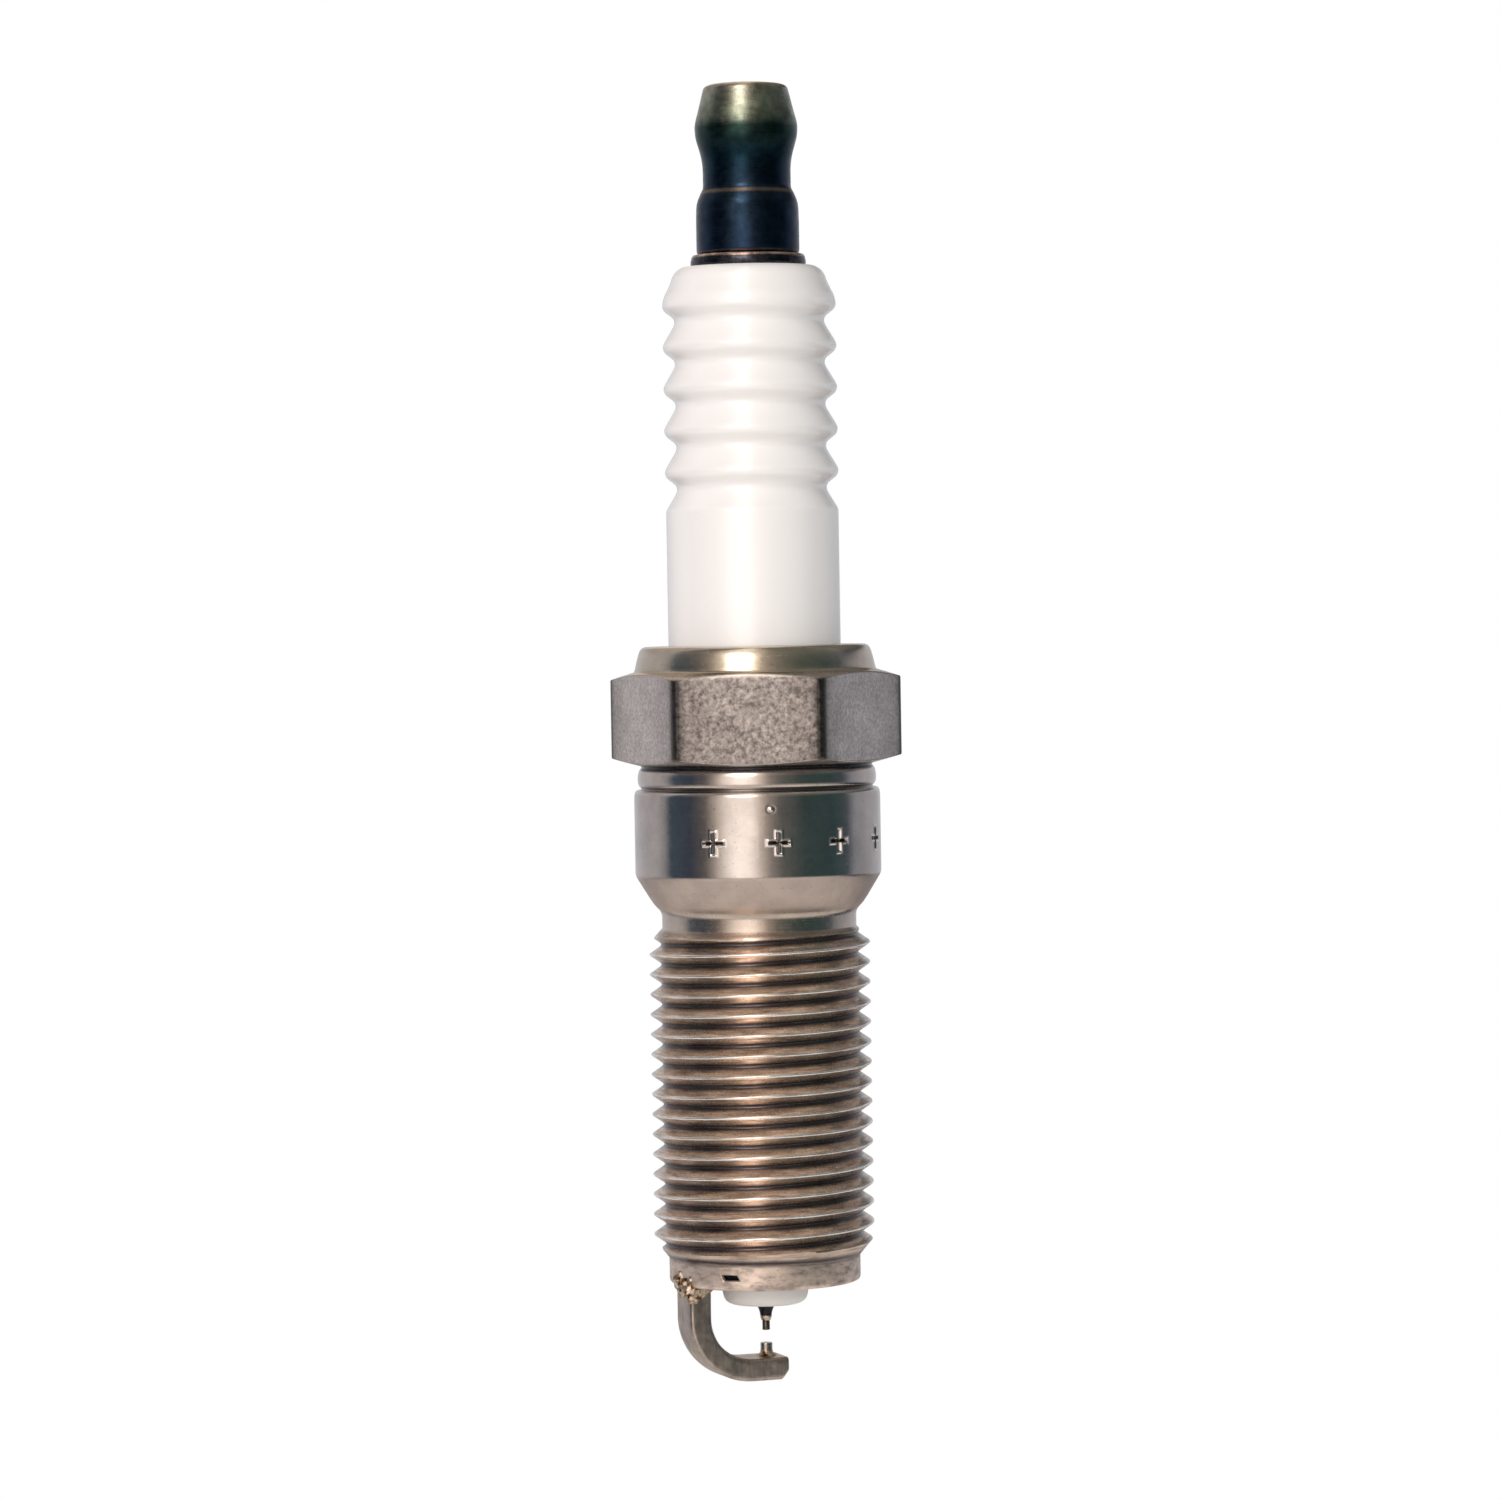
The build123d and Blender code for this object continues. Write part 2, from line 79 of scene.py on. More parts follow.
SLOT_Z = -24.2
SLOT_DEG = 248.8
INSULATOR_TOP_Z = 38.3
RIB_COUNT = 5
RIB_PITCH = 2.6
RIB_CREST_R = 5.41
RIB_CREST_TOP_Z = 35.95
GROOVE_DEPTH = 0.73
BARREL_R = 5.38
NUT_TOP_Z = 49.7
NUT_BOTTOM_Z = 39.13
NUT_BORE_R = 2.06
SKIRT_R = 3.21
SHANK_R = 2.1
FLANGE_TOP_Z = 39.08
STUD_THREAD_BOTTOM_Z = 39.7
STUD_TOP_Z = 47.9
STUD_PITCH = 0.7
WIRE_END_Z = -27.25
FINE_PIN_R = 0.235
FINE_PIN_ROOT_Z = -27.55
FINE_PIN_END_Z = -28.15
GROUND_PIN_R = 0.375
GROUND_PIN_TOP_Z = -28.95
STRAP_DEG = 200.0
STRAP_THICKNESS = 1.4
STRAP_WIDTH = 2.7
STRAP_LEG_R = 4.75
STRAP_ARM_Z = -30.475
STRAP_BEND_R = 3.365
STRAP_TIP_X = -1.0
STRAP_CHAMFER = 0.45
SHELL_COLUMNS = 192


# ---- mesh helpers ----


def build_mesh(name, points, faces, crease_deg=35.0):
    """A mesh object from points in millimetres, with doubles merged and normals turned outwards."""
    work = bmesh.new()
    verts = [work.verts.new(Vector(p) * MM) for p in points]
    for face in faces:
        work.faces.new([verts[i] for i in face])
    bmesh.ops.remove_doubles(work, verts=work.verts, dist=MERGE_MM * MM)
    bmesh.ops.dissolve_degenerate(work, edges=work.edges, dist=MERGE_MM * MM * 0.5)
    bmesh.ops.recalc_face_normals(work, faces=work.faces)
    mesh = bpy.data.meshes.new(name)
    work.to_mesh(mesh)
    work.free()
    mesh.shade_smooth()
    mesh.set_sharp_from_angle(angle=math.radians(crease_deg))
    obj = bpy.data.objects.new(name, mesh)
    bpy.context.collection.objects.link(obj)
    return obj


def grid_faces(columns, rows, loop_rows=False, loop_columns=False, start=0):
    """Quads of a grid stored column by column."""
    faces = []
    for c in range(columns if loop_columns else columns - 1):
        for r in range(rows if loop_rows else rows - 1):
            near, far = start + c * rows, start + ((c + 1) % columns) * rows
            up = (r + 1) % rows
            faces.append((near + r, near + up, far + up, far + r))
    return faces


def round_corners(profile, steps=4):
    """A closed (r, z) outline whose corners with a third number get that fillet radius."""
    result = []
    count = len(profile)
    for i, corner in enumerate(profile):
        here = Vector(corner[:2])
        if len(corner) < 3:
            result.append(tuple(here))
            continue
        before = (Vector(profile[i - 1][:2]) - here).normalized()
        after = (Vector(profile[(i + 1) % count][:2]) - here).normalized()
        reach = corner[2]
        for k in range(steps + 1):
            t = k / steps
            result.append(tuple(here + before * reach * (1 - t) ** 2 + after * reach * t**2))
    return result


def smooth_curve(points, steps=6):
    """Catmull-Rom curve through (r, z) points."""
    pts = [Vector(p) for p in points]
    ends = [pts[0] * 2 - pts[1], *pts, pts[-1] * 2 - pts[-2]]
    curve = []
    for i in range(1, len(ends) - 2):
        a, b, c, d = ends[i - 1 : i + 3]
        for k in range(steps):
            t = k / steps
            bend = (a * 2 - b * 5 + c * 4 - d) * t * t + (b * 3 - a - c * 3 + d) * t**3
            curve.append(tuple((b * 2 + (c - a) * t + bend) * 0.5))
    curve.append(tuple(pts[-1]))
    return curve


def lathe(name, profile, columns, ripple=None):
    """A closed (r, z) outline turned about the plug's axis. ripple(r, z, angle) adds to the radius."""
    points = []
    for c in range(columns):
        angle = 2 * math.pi * c / columns
        for r, z in profile:
            reach = r + (ripple(r, z, angle) if ripple and r > 0.001 else 0.0)
            points.append((reach * math.cos(angle), reach * math.sin(angle), z))
    return build_mesh(name, points, grid_faces(columns, len(profile), True, True))


def soft_min(a, b, width):
    """The smaller of two lengths, with the change from one to the other rounded over the width."""
    return -width * math.log(math.exp(-a / width) + math.exp(-b / width))


def noise_at(x, y, z):
    return noise.noise(Vector((x, y, z)))


# ---- threads ----
# one flank from the crest to the root: share of the pitch from the crest, share of the depth
FLANK = [(0.035, 0.985), (0.07, 0.93), (0.105, 0.84), (0.2, 0.6)]
FLANK += [(0.31, 0.33), (0.41, 0.09), (0.455, 0.025)]
THREAD_FORM = [(-0.5, 0.0)] + [(-phase, height) for phase, height in reversed(FLANK)] + [(0.0, 1.0)] + FLANK


def thread_points(angles, bottom, top, pitch, major_r, root_r, crest_z, wear=0.0):
    """Columns of a right-hand thread between two rings, each given as (radius, z, run-out)."""
    bottom_r, bottom_z, bottom_run = bottom
    top_r, top_z, top_run = top
    first = math.floor((bottom_z - crest_z) / pitch) - 2
    last = math.ceil((top_z - crest_z) / pitch) + 1
    points = []
    for angle in angles:
        for turn in range(first, last + 1):
            for phase, height in THREAD_FORM:
                z = crest_z + pitch * (turn + phase + angle / (2 * math.pi))
                radius = root_r + (major_r - root_r) * height
                if wear and height > 0.8:
                    nick = noise_at(math.cos(angle) * 9, math.sin(angle) * 9, z * 1.4)
                    radius -= wear * max(0.0, nick - 0.32) * (height - 0.8) / 0.2
                low = bottom_r + (major_r - bottom_r) * max(0.0, z - bottom_z) / bottom_run
                high = top_r + (major_r - top_r) * max(0.0, top_z - z) / top_run
                radius = min(radius, low, high)
                if z <= bottom_z:
                    radius, z = bottom_r, bottom_z
                if z >= top_z:
                    radius, z = top_r, top_z
                points.append((radius * math.cos(angle), radius * math.sin(angle), z))
    return points, (last - first + 1) * len(THREAD_FORM)


# ---- metal shell ----


def shell_angles():
    """Angles round the shell, closer together at the hexagon's corners."""
    angles = []
    for i in range(SHELL_COLUMNS):
        u = 360.0 * i / SHELL_COLUMNS
        angles.append(math.radians(56.5 + u - 0.8 / 6 * math.degrees(math.sin(math.radians(6 * u)))))
    return angles


def hex_radius(angle):
    """Distance from the axis to the hexagon's wall, with its corners turned down."""
    off = (math.degrees(angle) - HEX_FLAT_DEG + 30.0) % 60.0 - 30.0
    return soft_min(HEX_FLAT_R / math.cos(math.radians(off)), HEX_CORNER_R + 0.012, 0.02)


def crimp_rows():
    """Lip over the insulator and the rounded outside of the crimp, down to the hexagon's top."""
    lip = [(CRIMP_LIP_R, 13.95), (5.47, 14.4), (5.58, 14.6), (5.8, 14.7), (6.2, CRIMP_TOP_Z)]
    brow = [(6.7, CRIMP_TOP_Z), (6.88, 14.735), (7.02, 14.68), (7.13, 14.59), (7.21, 14.46), (7.28, 14.28)]
    flank = [(7.35, 14.03), (7.41, 13.8), (7.46, 13.58), (7.5, 13.4), (7.53, 13.28), (7.56, 13.2)]
    return lip + brow + flank + [(CRIMP_FOOT_R, HEX_TOP_Z + 0.005)]


def hex_rows(wall):
    """Top face, wall and underside of the hexagon where its wall is this far from the axis."""
    top_z = HEX_TOP_Z - HEX_CHAMFER * (wall - HEX_SHOULDER_R) / (HEX_CORNER_R - HEX_SHOULDER_R)
    foot_z = HEX_BOTTOM_Z + HEX_CHAMFER * (wall - HEX_FOOT_R) / (HEX_CORNER_R - HEX_FOOT_R)
    rows = [((CRIMP_FOOT_R + wall) / 2, (HEX_TOP_Z - 0.005 + top_z) / 2 + 0.012)]
    rows += [(wall - 0.09, top_z + 0.028), (wall - 0.04, top_z + 0.006), (wall - 0.012, top_z - 0.03)]
    rows += [(wall, top_z - 0.09)]
    rows += [(wall, top_z - 0.09 + (foot_z - top_z + 0.18) * i / 10) for i in range(1, 10)]
    rows += [(wall, foot_z + 0.09), (wall - 0.012, foot_z + 0.03), (wall - 0.04, foot_z - 0.006)]
    rows += [(wall - 0.09, foot_z - 0.026), ((HEX_FOOT_R + wall) / 2, (HEX_BOTTOM_Z + foot_z) / 2 - 0.012)]
    return rows + [(7.4, HEX_BOTTOM_Z)]


def ring_rows():
    """Bulged ring between the hexagon and the collar, with a groove on each side."""
    upper = [(7.33, 7.34), (7.25, 7.3), (7.215, 7.25), (7.23, 7.18), (7.28, 7.12), (7.34, 7.05)]
    bulge = [(7.385, 6.95), (7.42, 6.8), (7.445, 6.64), (RING_BULGE_R, RING_BULGE_Z), (7.445, 6.34)]
    lower = [(7.42, 6.18), (7.37, 6.06), (7.3, 5.99), (7.25, 5.95), (7.23, 5.91), (7.25, 5.87), (7.32, 5.84)]
    return upper + bulge + lower


def collar_rows():
    """Collar with rounded edges."""
    top = [(7.42, 5.82), (7.52, 5.79), (7.6, 5.73), (7.655, 5.61), (7.68, 5.42)]
    wall = [(COLLAR_R, COLLAR_EDGE_TOP_Z - 0.25 * i) for i in range(18)]
    return top + wall + [(COLLAR_R, 0.7), (7.68, 0.58), (7.65, 0.46)]


def seat_rows():
    """Conical seat, the hollow under it and the neck above the thread."""
    cone = [(7.58, 0.3), (7.15, -0.41), (6.8, -0.98)]
    hollow = [(6.57, -1.32), (6.4, -1.52), (6.27, -1.65), (6.17, -1.78), (6.1, -1.94)]
    return cone + hollow + [(NECK_R, z) for z in (-2.12, -2.3, -2.6, THREAD_TOP_Z)]


def head_column(angle):
    """Outline of the shell from the crimp's lip down to the neck, at one angle."""
    return crimp_rows() + hex_rows(hex_radius(angle)) + ring_rows() + collar_rows() + seat_rows()


def shell_end_profile():
    """Pilot, end face and the stepped bore, from the thread's end back up to the crimp's lip."""
    pilot = [(PILOT_R, z) for z in (THREAD_BOTTOM_Z, -23.7, -23.95, -24.2, -24.45, -24.75)]
    pilot += [(PILOT_R - 0.03, -24.88), (PILOT_R - 0.1, -24.96), (PILOT_R - 0.2, END_Z)]
    face = [(5.2, END_Z), (4.5, END_Z), (4.36, -24.98), (4.27, -24.88), (SHELL_BORE_R, -24.7)]
    bore = [(SHELL_BORE_R, -13.1), (SHELL_LEDGE_R, -12.6), (SHELL_LEDGE_R, -11.15)]
    chamber = [(4.75, -10.6), (4.75, 0.2), (6.5, 2.0), (6.5, 13.35)]
    return pilot + face + bore + chamber + [(6.2, 13.8), (5.6, 13.86), (CRIMP_LIP_R, 13.95)]


def press_mark(u, v):
    """Depth and raised rim of one small cross, at u across and v up from its middle."""
    across = max(abs(u) - 0.6, abs(v) - 0.065)
    upright = max(abs(v) - 0.64, abs(u) - 0.065)
    gap = min(across, upright)
    sunk = -0.11 / (1 + math.exp(min(40.0, (gap - 0.005) / 0.02)))
    rim = 0.05 * math.exp(-(((gap - 0.1) / 0.065) ** 2))
    return sunk + rim


def in_mark(angle_deg, z, centre_deg, half_deg, half_z):
    """Whether a point on the collar lies in the window round one cross."""
    return abs((angle_deg - centre_deg + 180) % 360 - 180) < half_deg and abs(z - MARK_Z) < half_z


def refine_and_press(obj):
    """Divides the mesh finely where the crosses, the dot and the slot are, and presses them in."""
    work = bmesh.new()
    work.from_mesh(obj.data)

    def polar(point):
        angle = math.degrees(math.atan2(point.y, point.x)) % 360
        return angle, math.hypot(point.x, point.y) / MM, point.z / MM

    def wanted(face):
        angle, radius, z = polar(face.calc_center_median())
        if radius > 7.6 and any(in_mark(angle, z, c, 9.0, 1.15) for c in MARK_DEG):
            return True
        if radius > 7.6 and abs(angle - DOT_DEG) < 3.0 and abs(z - DOT_Z) < 0.35:
            return True
        return 5.9 < radius < 6.05 and abs(angle - SLOT_DEG) < 9.5 and -24.7 < z < -23.7

    chosen = [face for face in work.faces if wanted(face)]
    edges = list({edge for face in chosen for edge in face.edges})
    bmesh.ops.subdivide_edges(work, edges=edges, cuts=4, use_grid_fill=True)
    for vert in work.verts:
        angle, radius, z = polar(vert.co)
        if 7.6 < radius < 7.75 and 0.62 < z < 5.12:
            target = COLLAR_R
            for centre in MARK_DEG:
                if in_mark(angle, z, centre, 8.5, 1.1):
                    u = math.radians((angle - centre + 180) % 360 - 180) * COLLAR_R
                    target += press_mark(u, z - MARK_Z)
            far = math.hypot(math.radians(angle - DOT_DEG) * COLLAR_R, z - DOT_Z)
            target += 0.07 * math.exp(-((far / 0.11) ** 2)) - 0.02 * math.exp(-(((far - 0.22) / 0.06) ** 2))
        elif 5.95 < radius < 6.0 and abs(z - SLOT_Z) < 0.45 and abs(angle - SLOT_DEG) < 9.5:
            u = math.radians(angle - SLOT_DEG) * PILOT_R
            gap = max(abs(u + (z - SLOT_Z) * 0.5) - 0.47, abs(z - SLOT_Z) - 0.13)
            target = PILOT_R - 0.45 / (1 + math.exp(max(-40.0, min(40.0, gap / 0.025))))
        else:
            continue
        scale = target / radius
        vert.co.x *= scale
        vert.co.y *= scale
    work.to_mesh(obj.data)
    work.free()
    obj.data.shade_smooth()
    obj.data.set_sharp_from_angle(angle=math.radians(38))


def make_shell():
    """Shell with a true right-hand thread."""
    angles = shell_angles()
    head = [head_column(a) for a in angles]
    points = [(r * math.cos(a), r * math.sin(a), z) for a, rows in zip(angles, head) for r, z in rows]
    faces = grid_faces(SHELL_COLUMNS, len(head[0]), loop_columns=True)
    start = len(points)
    wrapped = angles + [angles[0] + 2 * math.pi]
    thread, rows = thread_points(
        wrapped,
        (PILOT_R, THREAD_BOTTOM_Z, 1.1),
        (NECK_R, THREAD_TOP_Z, 0.9),
        PITCH,
        THREAD_MAJOR_R,
        THREAD_ROOT_R,
        THREAD_CREST_Z,
        wear=0.09,
    )
    points += thread
    faces += grid_faces(len(wrapped), rows, start=start)
    start = len(points)
    end = shell_end_profile()
    points += [(r * math.cos(a), r * math.sin(a), z) for a in angles for r, z in end]
    faces += grid_faces(SHELL_COLUMNS, len(end), loop_columns=True, start=start)
    shell = build_mesh("shell", points, faces, crease_deg=38)
    refine_and_press(shell)
    return shell


# ---- insulator ----


def make_insulator():
    """Ribbed ceramic with its hidden flange, nose and bore."""
    form = [(0.0, 0.0), (0.13, 0.2), (0.28, 0.85), (0.385, 1.0), (0.5, 0.9), (0.76, 0.36), (0.9, 0.08)]
    ribs = []
    for i in range(RIB_COUNT):
        for share, sunk in form:
            ribs.append((RIB_CREST_R - GROOVE_DEPTH * sunk, RIB_CREST_TOP_Z - RIB_PITCH * (i + share)))
    shoulder = [(4.2, INSULATOR_TOP_Z), (4.5, 38.1), (4.73, 37.8), (4.88, 37.4), (5.08, 36.95), (5.3, 36.5)]
    outer = smooth_curve([*shoulder, *ribs, (BARREL_R, 22.8), (BARREL_R, 21.5)], 5)
    barrel = [(BARREL_R, 19.0), (BARREL_R, 16.5), (BARREL_R, CRIMP_TOP_Z), (5.15, 14.65), (5.15, 8.6)]
    flange = [(6.3, 8.3), (6.3, 2.6)]
    nose = [(4.55, 0.85), (4.55, -10.3), (3.45, -10.97), (3.3, -12.6), (2.78, -25.0), (2.7, -25.6)]
    tip = [(2.66, -25.85), (2.6, -26.06), (2.49, -26.24), (2.33, -26.36), (2.15, -26.43), (1.9, -26.45)]
    bore = [(1.42, -26.45), (1.35, -26.38), (1.35, -6.3), (2.15, -5.6), (2.15, 38.2)]
    top = [(2.25, INSULATOR_TOP_Z), (4.0, INSULATOR_TOP_Z + 0.02)]
    return lathe("ceramic", outer + barrel + flange + nose + tip + bore + top, 192)


# ---- terminal ----


def make_nut():
    """Push-on terminal: waisted head over a plain skirt, with a blind bore."""
    head = [(1.2, 49.69), (2.0, 49.66), (2.38, 49.6), (2.6, 49.45), (2.7, 49.15), (2.96, 48.1)]
    head += [(3.17, 47.3), (3.2, 46.8)]
    waist = [(3.13, 46.25), (2.89, 45.4), (2.77, 44.75), (2.74, 44.2), (2.74, 43.4)]
    side = smooth_curve(head + waist)
    step = [(2.76, 43.2), (2.83, 43.05), (2.9, 42.93), (2.99, 42.72), (3.1, 42.45), (3.16, 42.2)]
    skirt = [(3.19, 41.9), (3.2, 41.5), (SKIRT_R, 41.0), (SKIRT_R, 40.2), (SKIRT_R, 39.4), (3.19, 39.23)]
    foot = [(3.13, 39.16), (3.05, NUT_BOTTOM_Z), (2.41, NUT_BOTTOM_Z), (2.2, 39.3)]
    bore = [(NUT_BORE_R, 39.48), (NUT_BORE_R, 48.2), (0.0, 48.7), (0.0, NUT_TOP_Z)]
    return lathe("push_on_nut", side + step + skirt + foot + bore, 144)


def make_stud():
    """Stud with a knurled foot, a flange and a true right-hand M4 thread."""
    grooves = []
    for i in range(6):
        z = 10.0 + 0.7 * i
        grooves += [(SHANK_R, z - 0.12), (1.9, z), (SHANK_R, z + 0.12)]
    shank = [(0.0, 9.4), (1.8, 9.4), (SHANK_R, 9.7), *grooves, (SHANK_R, 38.2), (2.14, INSULATOR_TOP_Z)]
    flange = [(3.43, INSULATOR_TOP_Z), (3.52, 38.33), (3.58, 38.41), (3.6, 38.53), (3.59, 38.71)]
    flange += [(3.55, 38.81), (3.55, 38.87), (3.52, 38.97), (3.46, 39.05), (3.36, FLANGE_TOP_Z)]
    neck = [(1.55, FLANGE_TOP_Z), (1.55, STUD_THREAD_BOTTOM_Z)]
    body = shank + flange + neck
    columns = 96
    angles = [2 * math.pi * i / columns for i in range(columns)]
    points = [(r * math.cos(a), r * math.sin(a), z) for a in angles for r, z in body]
    faces = grid_faces(columns, len(body), loop_columns=True)
    start = len(points)
    wrapped = angles + [2 * math.pi]
    low, high = (1.55, STUD_THREAD_BOTTOM_Z, 0.5), (1.45, STUD_TOP_Z, 0.5)
    thread, rows = thread_points(wrapped, low, high, STUD_PITCH, 2.0, 1.57, 41.0)
    points += thread
    faces += grid_faces(len(wrapped), rows, start=start)
    start = len(points)
    points += [(r * math.cos(a), r * math.sin(a), STUD_TOP_Z) for a in angles for r in (1.45, 0.0)]
    faces += grid_faces(columns, 2, loop_columns=True, start=start)
    return build_mesh("stud", points, faces, crease_deg=38)


# ---- electrodes ----


def make_centre_electrode():
    """Nickel jacket round the bore for its copper core, tapered to the fine pin."""
    cone = smooth_curve([(1.08, -26.1), (0.72, -26.42), (0.51, -26.72), (0.4, -27.0), (0.355, WIRE_END_Z)])
    core_bore = [(0.0, WIRE_END_Z), (0.0, -23.5), (0.45, -23.5), (0.75, -22.9), (0.75, -4.6)]
    head = [(1.55, -4.6), (1.95, -5.0), (1.95, -5.775)]
    shank = [(1.27, -6.37), (1.27, -25.3), (1.08, -25.5)]
    return lathe("centre_wire", core_bore + head + shank + cone, 72)


def make_tip_weld():
    """Ring of melted metal between the centre electrode and its pin."""

    def ripple(r, z, angle):
        return 0.012 * noise_at(math.cos(angle) * 3, math.sin(angle) * 3, z * 9)

    side = smooth_curve([(0.36, -27.24), (0.355, -27.34), (0.32, -27.45), (0.275, FINE_PIN_ROOT_Z)], 5)
    return lathe("centre_weld", [(0.0, -27.24), *side, (0.0, FINE_PIN_ROOT_Z)], 48, ripple=ripple)


def make_pin(name, radius, bottom_z, top_z, edge):
    """Plain round pin with its edges broken."""
    profile = [(0.0, bottom_z), (radius, bottom_z, edge), (radius, top_z, edge), (0.0, top_z)]
    return lathe(name, round_corners(profile), 48)


def make_fine_pin():
    return make_pin("fine_pin", FINE_PIN_R, FINE_PIN_END_Z, FINE_PIN_ROOT_Z, 0.03)


def make_ground_pin():
    foot = STRAP_ARM_Z + STRAP_THICKNESS / 2
    return make_pin("ground_pin", GROUND_PIN_R, foot, GROUND_PIN_TOP_Z, 0.04)


def make_pin_weld():
    """Flared foot of the ground pin."""
    foot = STRAP_ARM_Z + STRAP_THICKNESS / 2

    def ripple(r, z, angle):
        return 0.05 * noise_at(math.cos(angle) * 2, math.sin(angle) * 2, z * 4) * (foot + 0.5 - z)

    flare = [(GROUND_PIN_R, foot + 0.42), (0.4, foot + 0.3), (0.46, foot + 0.16), (0.6, foot + 0.04)]
    base = [(0.68, foot - 0.02), (GROUND_PIN_R - 0.005, foot - 0.02)]
    return lathe("ground_pin_weld", smooth_curve(flare, 5) + base, 48, ripple=ripple)


def to_strap_side(x, y, z):
    """From the strap's own side, where its leg stands on +X, to its place round the plug."""
    turn = math.radians(STRAP_DEG)
    return (x * math.cos(turn) - y * math.sin(turn), x * math.sin(turn) + y * math.cos(turn), z)


def strap_stations():
    """Middle point, outward direction and amount cut off the outer side, along the strap."""
    bend_x, bend_z = STRAP_LEG_R - STRAP_BEND_R, STRAP_ARM_Z + STRAP_BEND_R
    stations = [(STRAP_LEG_R, END_Z + (bend_z - END_Z) * i / 8, 0.0, 0.0) for i in range(9)]
    for i in range(1, 33):
        a = math.radians(90.0 * i / 32)
        stations.append((bend_x + STRAP_BEND_R * math.cos(a), bend_z - STRAP_BEND_R * math.sin(a), a, 0.0))
    arm_end = STRAP_TIP_X + STRAP_CHAMFER
    for i in range(1, 11):
        stations.append((bend_x + (arm_end - bend_x) * i / 10, STRAP_ARM_Z, math.pi / 2, 0.0))
    for i in range(1, 6):
        x = arm_end - (STRAP_CHAMFER - 0.05) * i / 5
        stations.append((x, STRAP_ARM_Z, math.pi / 2, STRAP_CHAMFER * (i / 5) ** 1.3))
    return stations


def strap_section(half_inner, half_outer, half_width, corner=0.24, steps=5):
    """Rounded rectangle as (outward, across) points."""
    section = []
    corners = ((half_outer, half_width, 0), (-half_inner, half_width, 90))
    corners += ((-half_inner, -half_width, 180), (half_outer, -half_width, 270))
    for out, across, start in corners:
        centre_out = out - math.copysign(corner, out if out != 0 else 1)
        centre_across = across - math.copysign(corner, across)
        for k in range(steps + 1):
            a = math.radians(start + 90.0 * k / steps)
            section.append((centre_out + corner * math.cos(a), centre_across + corner * math.sin(a)))
    edge = []
    for i, point in enumerate(section):
        after = section[(i + 1) % len(section)]
        edge.append(point)
        if i % (steps + 1) == steps:
            edge += [tuple(Vector(point).lerp(Vector(after), k / 6)) for k in range(1, 6)]
    return edge


def make_strap():
    """Ground strap: leg, quarter bend and arm, with its outer edge chamfered at the tip."""
    half = STRAP_THICKNESS / 2
    rings = []
    for x, z, a, cut in strap_stations():
        section = strap_section(half, half - cut, STRAP_WIDTH / 2)
        ring = []
        for out, across in section:
            wave = 0.012 * noise_at(x * 1.1 + across, across * 1.3, z * 1.1)
            reach = out + wave
            ring.append((x + math.cos(a) * reach, across, z - math.sin(a) * reach))
        rings.append(ring)
    last = strap_section(half, half - STRAP_CHAMFER, STRAP_WIDTH / 2)
    middle = -STRAP_CHAMFER / 2
    rings.append([(STRAP_TIP_X, y * 0.965, STRAP_ARM_Z - middle - (out - middle) * 0.92) for out, y in last])
    count = len(rings[0])
    points = [to_strap_side(*p) for ring in rings for p in ring]
    faces = grid_faces(len(rings), count, loop_rows=True)
    faces.append(tuple(range(count)))
    faces.append(tuple((len(rings) - 1) * count + i for i in range(count)))
    return build_mesh("ground_strap", points, faces, crease_deg=50)


# drops of melted metal that ran out over the shell's end at the strap's near corner: place and size
FLASH_LUMPS = [
    (-4.72, -3.42, -24.95, 0.5),
    (-4.35, -3.55, -25.1, 0.38),
    (-5.02, -3.0, -25.2, 0.4),
    (-4.5, -3.2, -25.55, 0.42),
    (-5.3, -2.75, -24.7, 0.42),
]
LUMP_COLUMNS = 24
LUMP_ROWS = 13


def lump_points(x, y, z, size):
    """A rough drop of re-set metal."""
    points = []
    for c in range(LUMP_COLUMNS):
        turn = 2 * math.pi * c / LUMP_COLUMNS
        for r in range(LUMP_ROWS):
            rise = math.pi * (r / (LUMP_ROWS - 1) - 0.5)
            out = Vector((math.cos(rise) * math.cos(turn), math.cos(rise) * math.sin(turn), math.sin(rise)))
            rough = 1 + 0.55 * noise.noise(out * 1.6 + Vector((x, y, z)) * 3) + 0.2 * noise.noise(out * 5)
            reach = size * rough
            points.append((x + out.x * reach, y + out.y * reach, z + out.z * reach * 1.15))
    return points


def make_root_weld():
    """Rippled flash round the strap's root, thickest at its near corner."""
    section = strap_section(STRAP_THICKNESS / 2, STRAP_THICKNESS / 2, STRAP_WIDTH / 2, 0.3, 7)
    points = []
    around = 14
    for out, across in section:
        outward = Vector((out / (STRAP_THICKNESS / 2), across / (STRAP_WIDTH / 2), 0)).normalized()
        lump = noise_at(out * 2.3, across * 2.1, 4.0)
        near = math.exp(-(((out - 0.3) ** 2 + (across - 1.2) ** 2) / 0.5))
        size = 0.2 + 0.08 * lump + 0.28 * near
        for k in range(around):
            a = 2 * math.pi * k / around
            grain = 1 + 0.35 * noise_at(out * 4, across * 4, a * 1.7)
            reach = size * math.cos(a) * grain
            rise = size * (1.5 + 0.8 * near) * math.sin(a) * grain
            x, y = STRAP_LEG_R + out + outward.x * reach, across + outward.y * reach
            z = END_Z - 0.03 + rise * (0.9 if rise < 0 else 0.5 + 1.2 * near)
            points.append(to_strap_side(x, y, z))
    faces = grid_faces(len(section), around, True, True)
    for x, y, z, size in FLASH_LUMPS:
        start = len(points)
        points += lump_points(x, y, z, size)
        faces += grid_faces(LUMP_COLUMNS, LUMP_ROWS, loop_columns=True, start=start)
    return build_mesh("root_weld", points, faces, crease_deg=60)


# ---- shading helpers ----


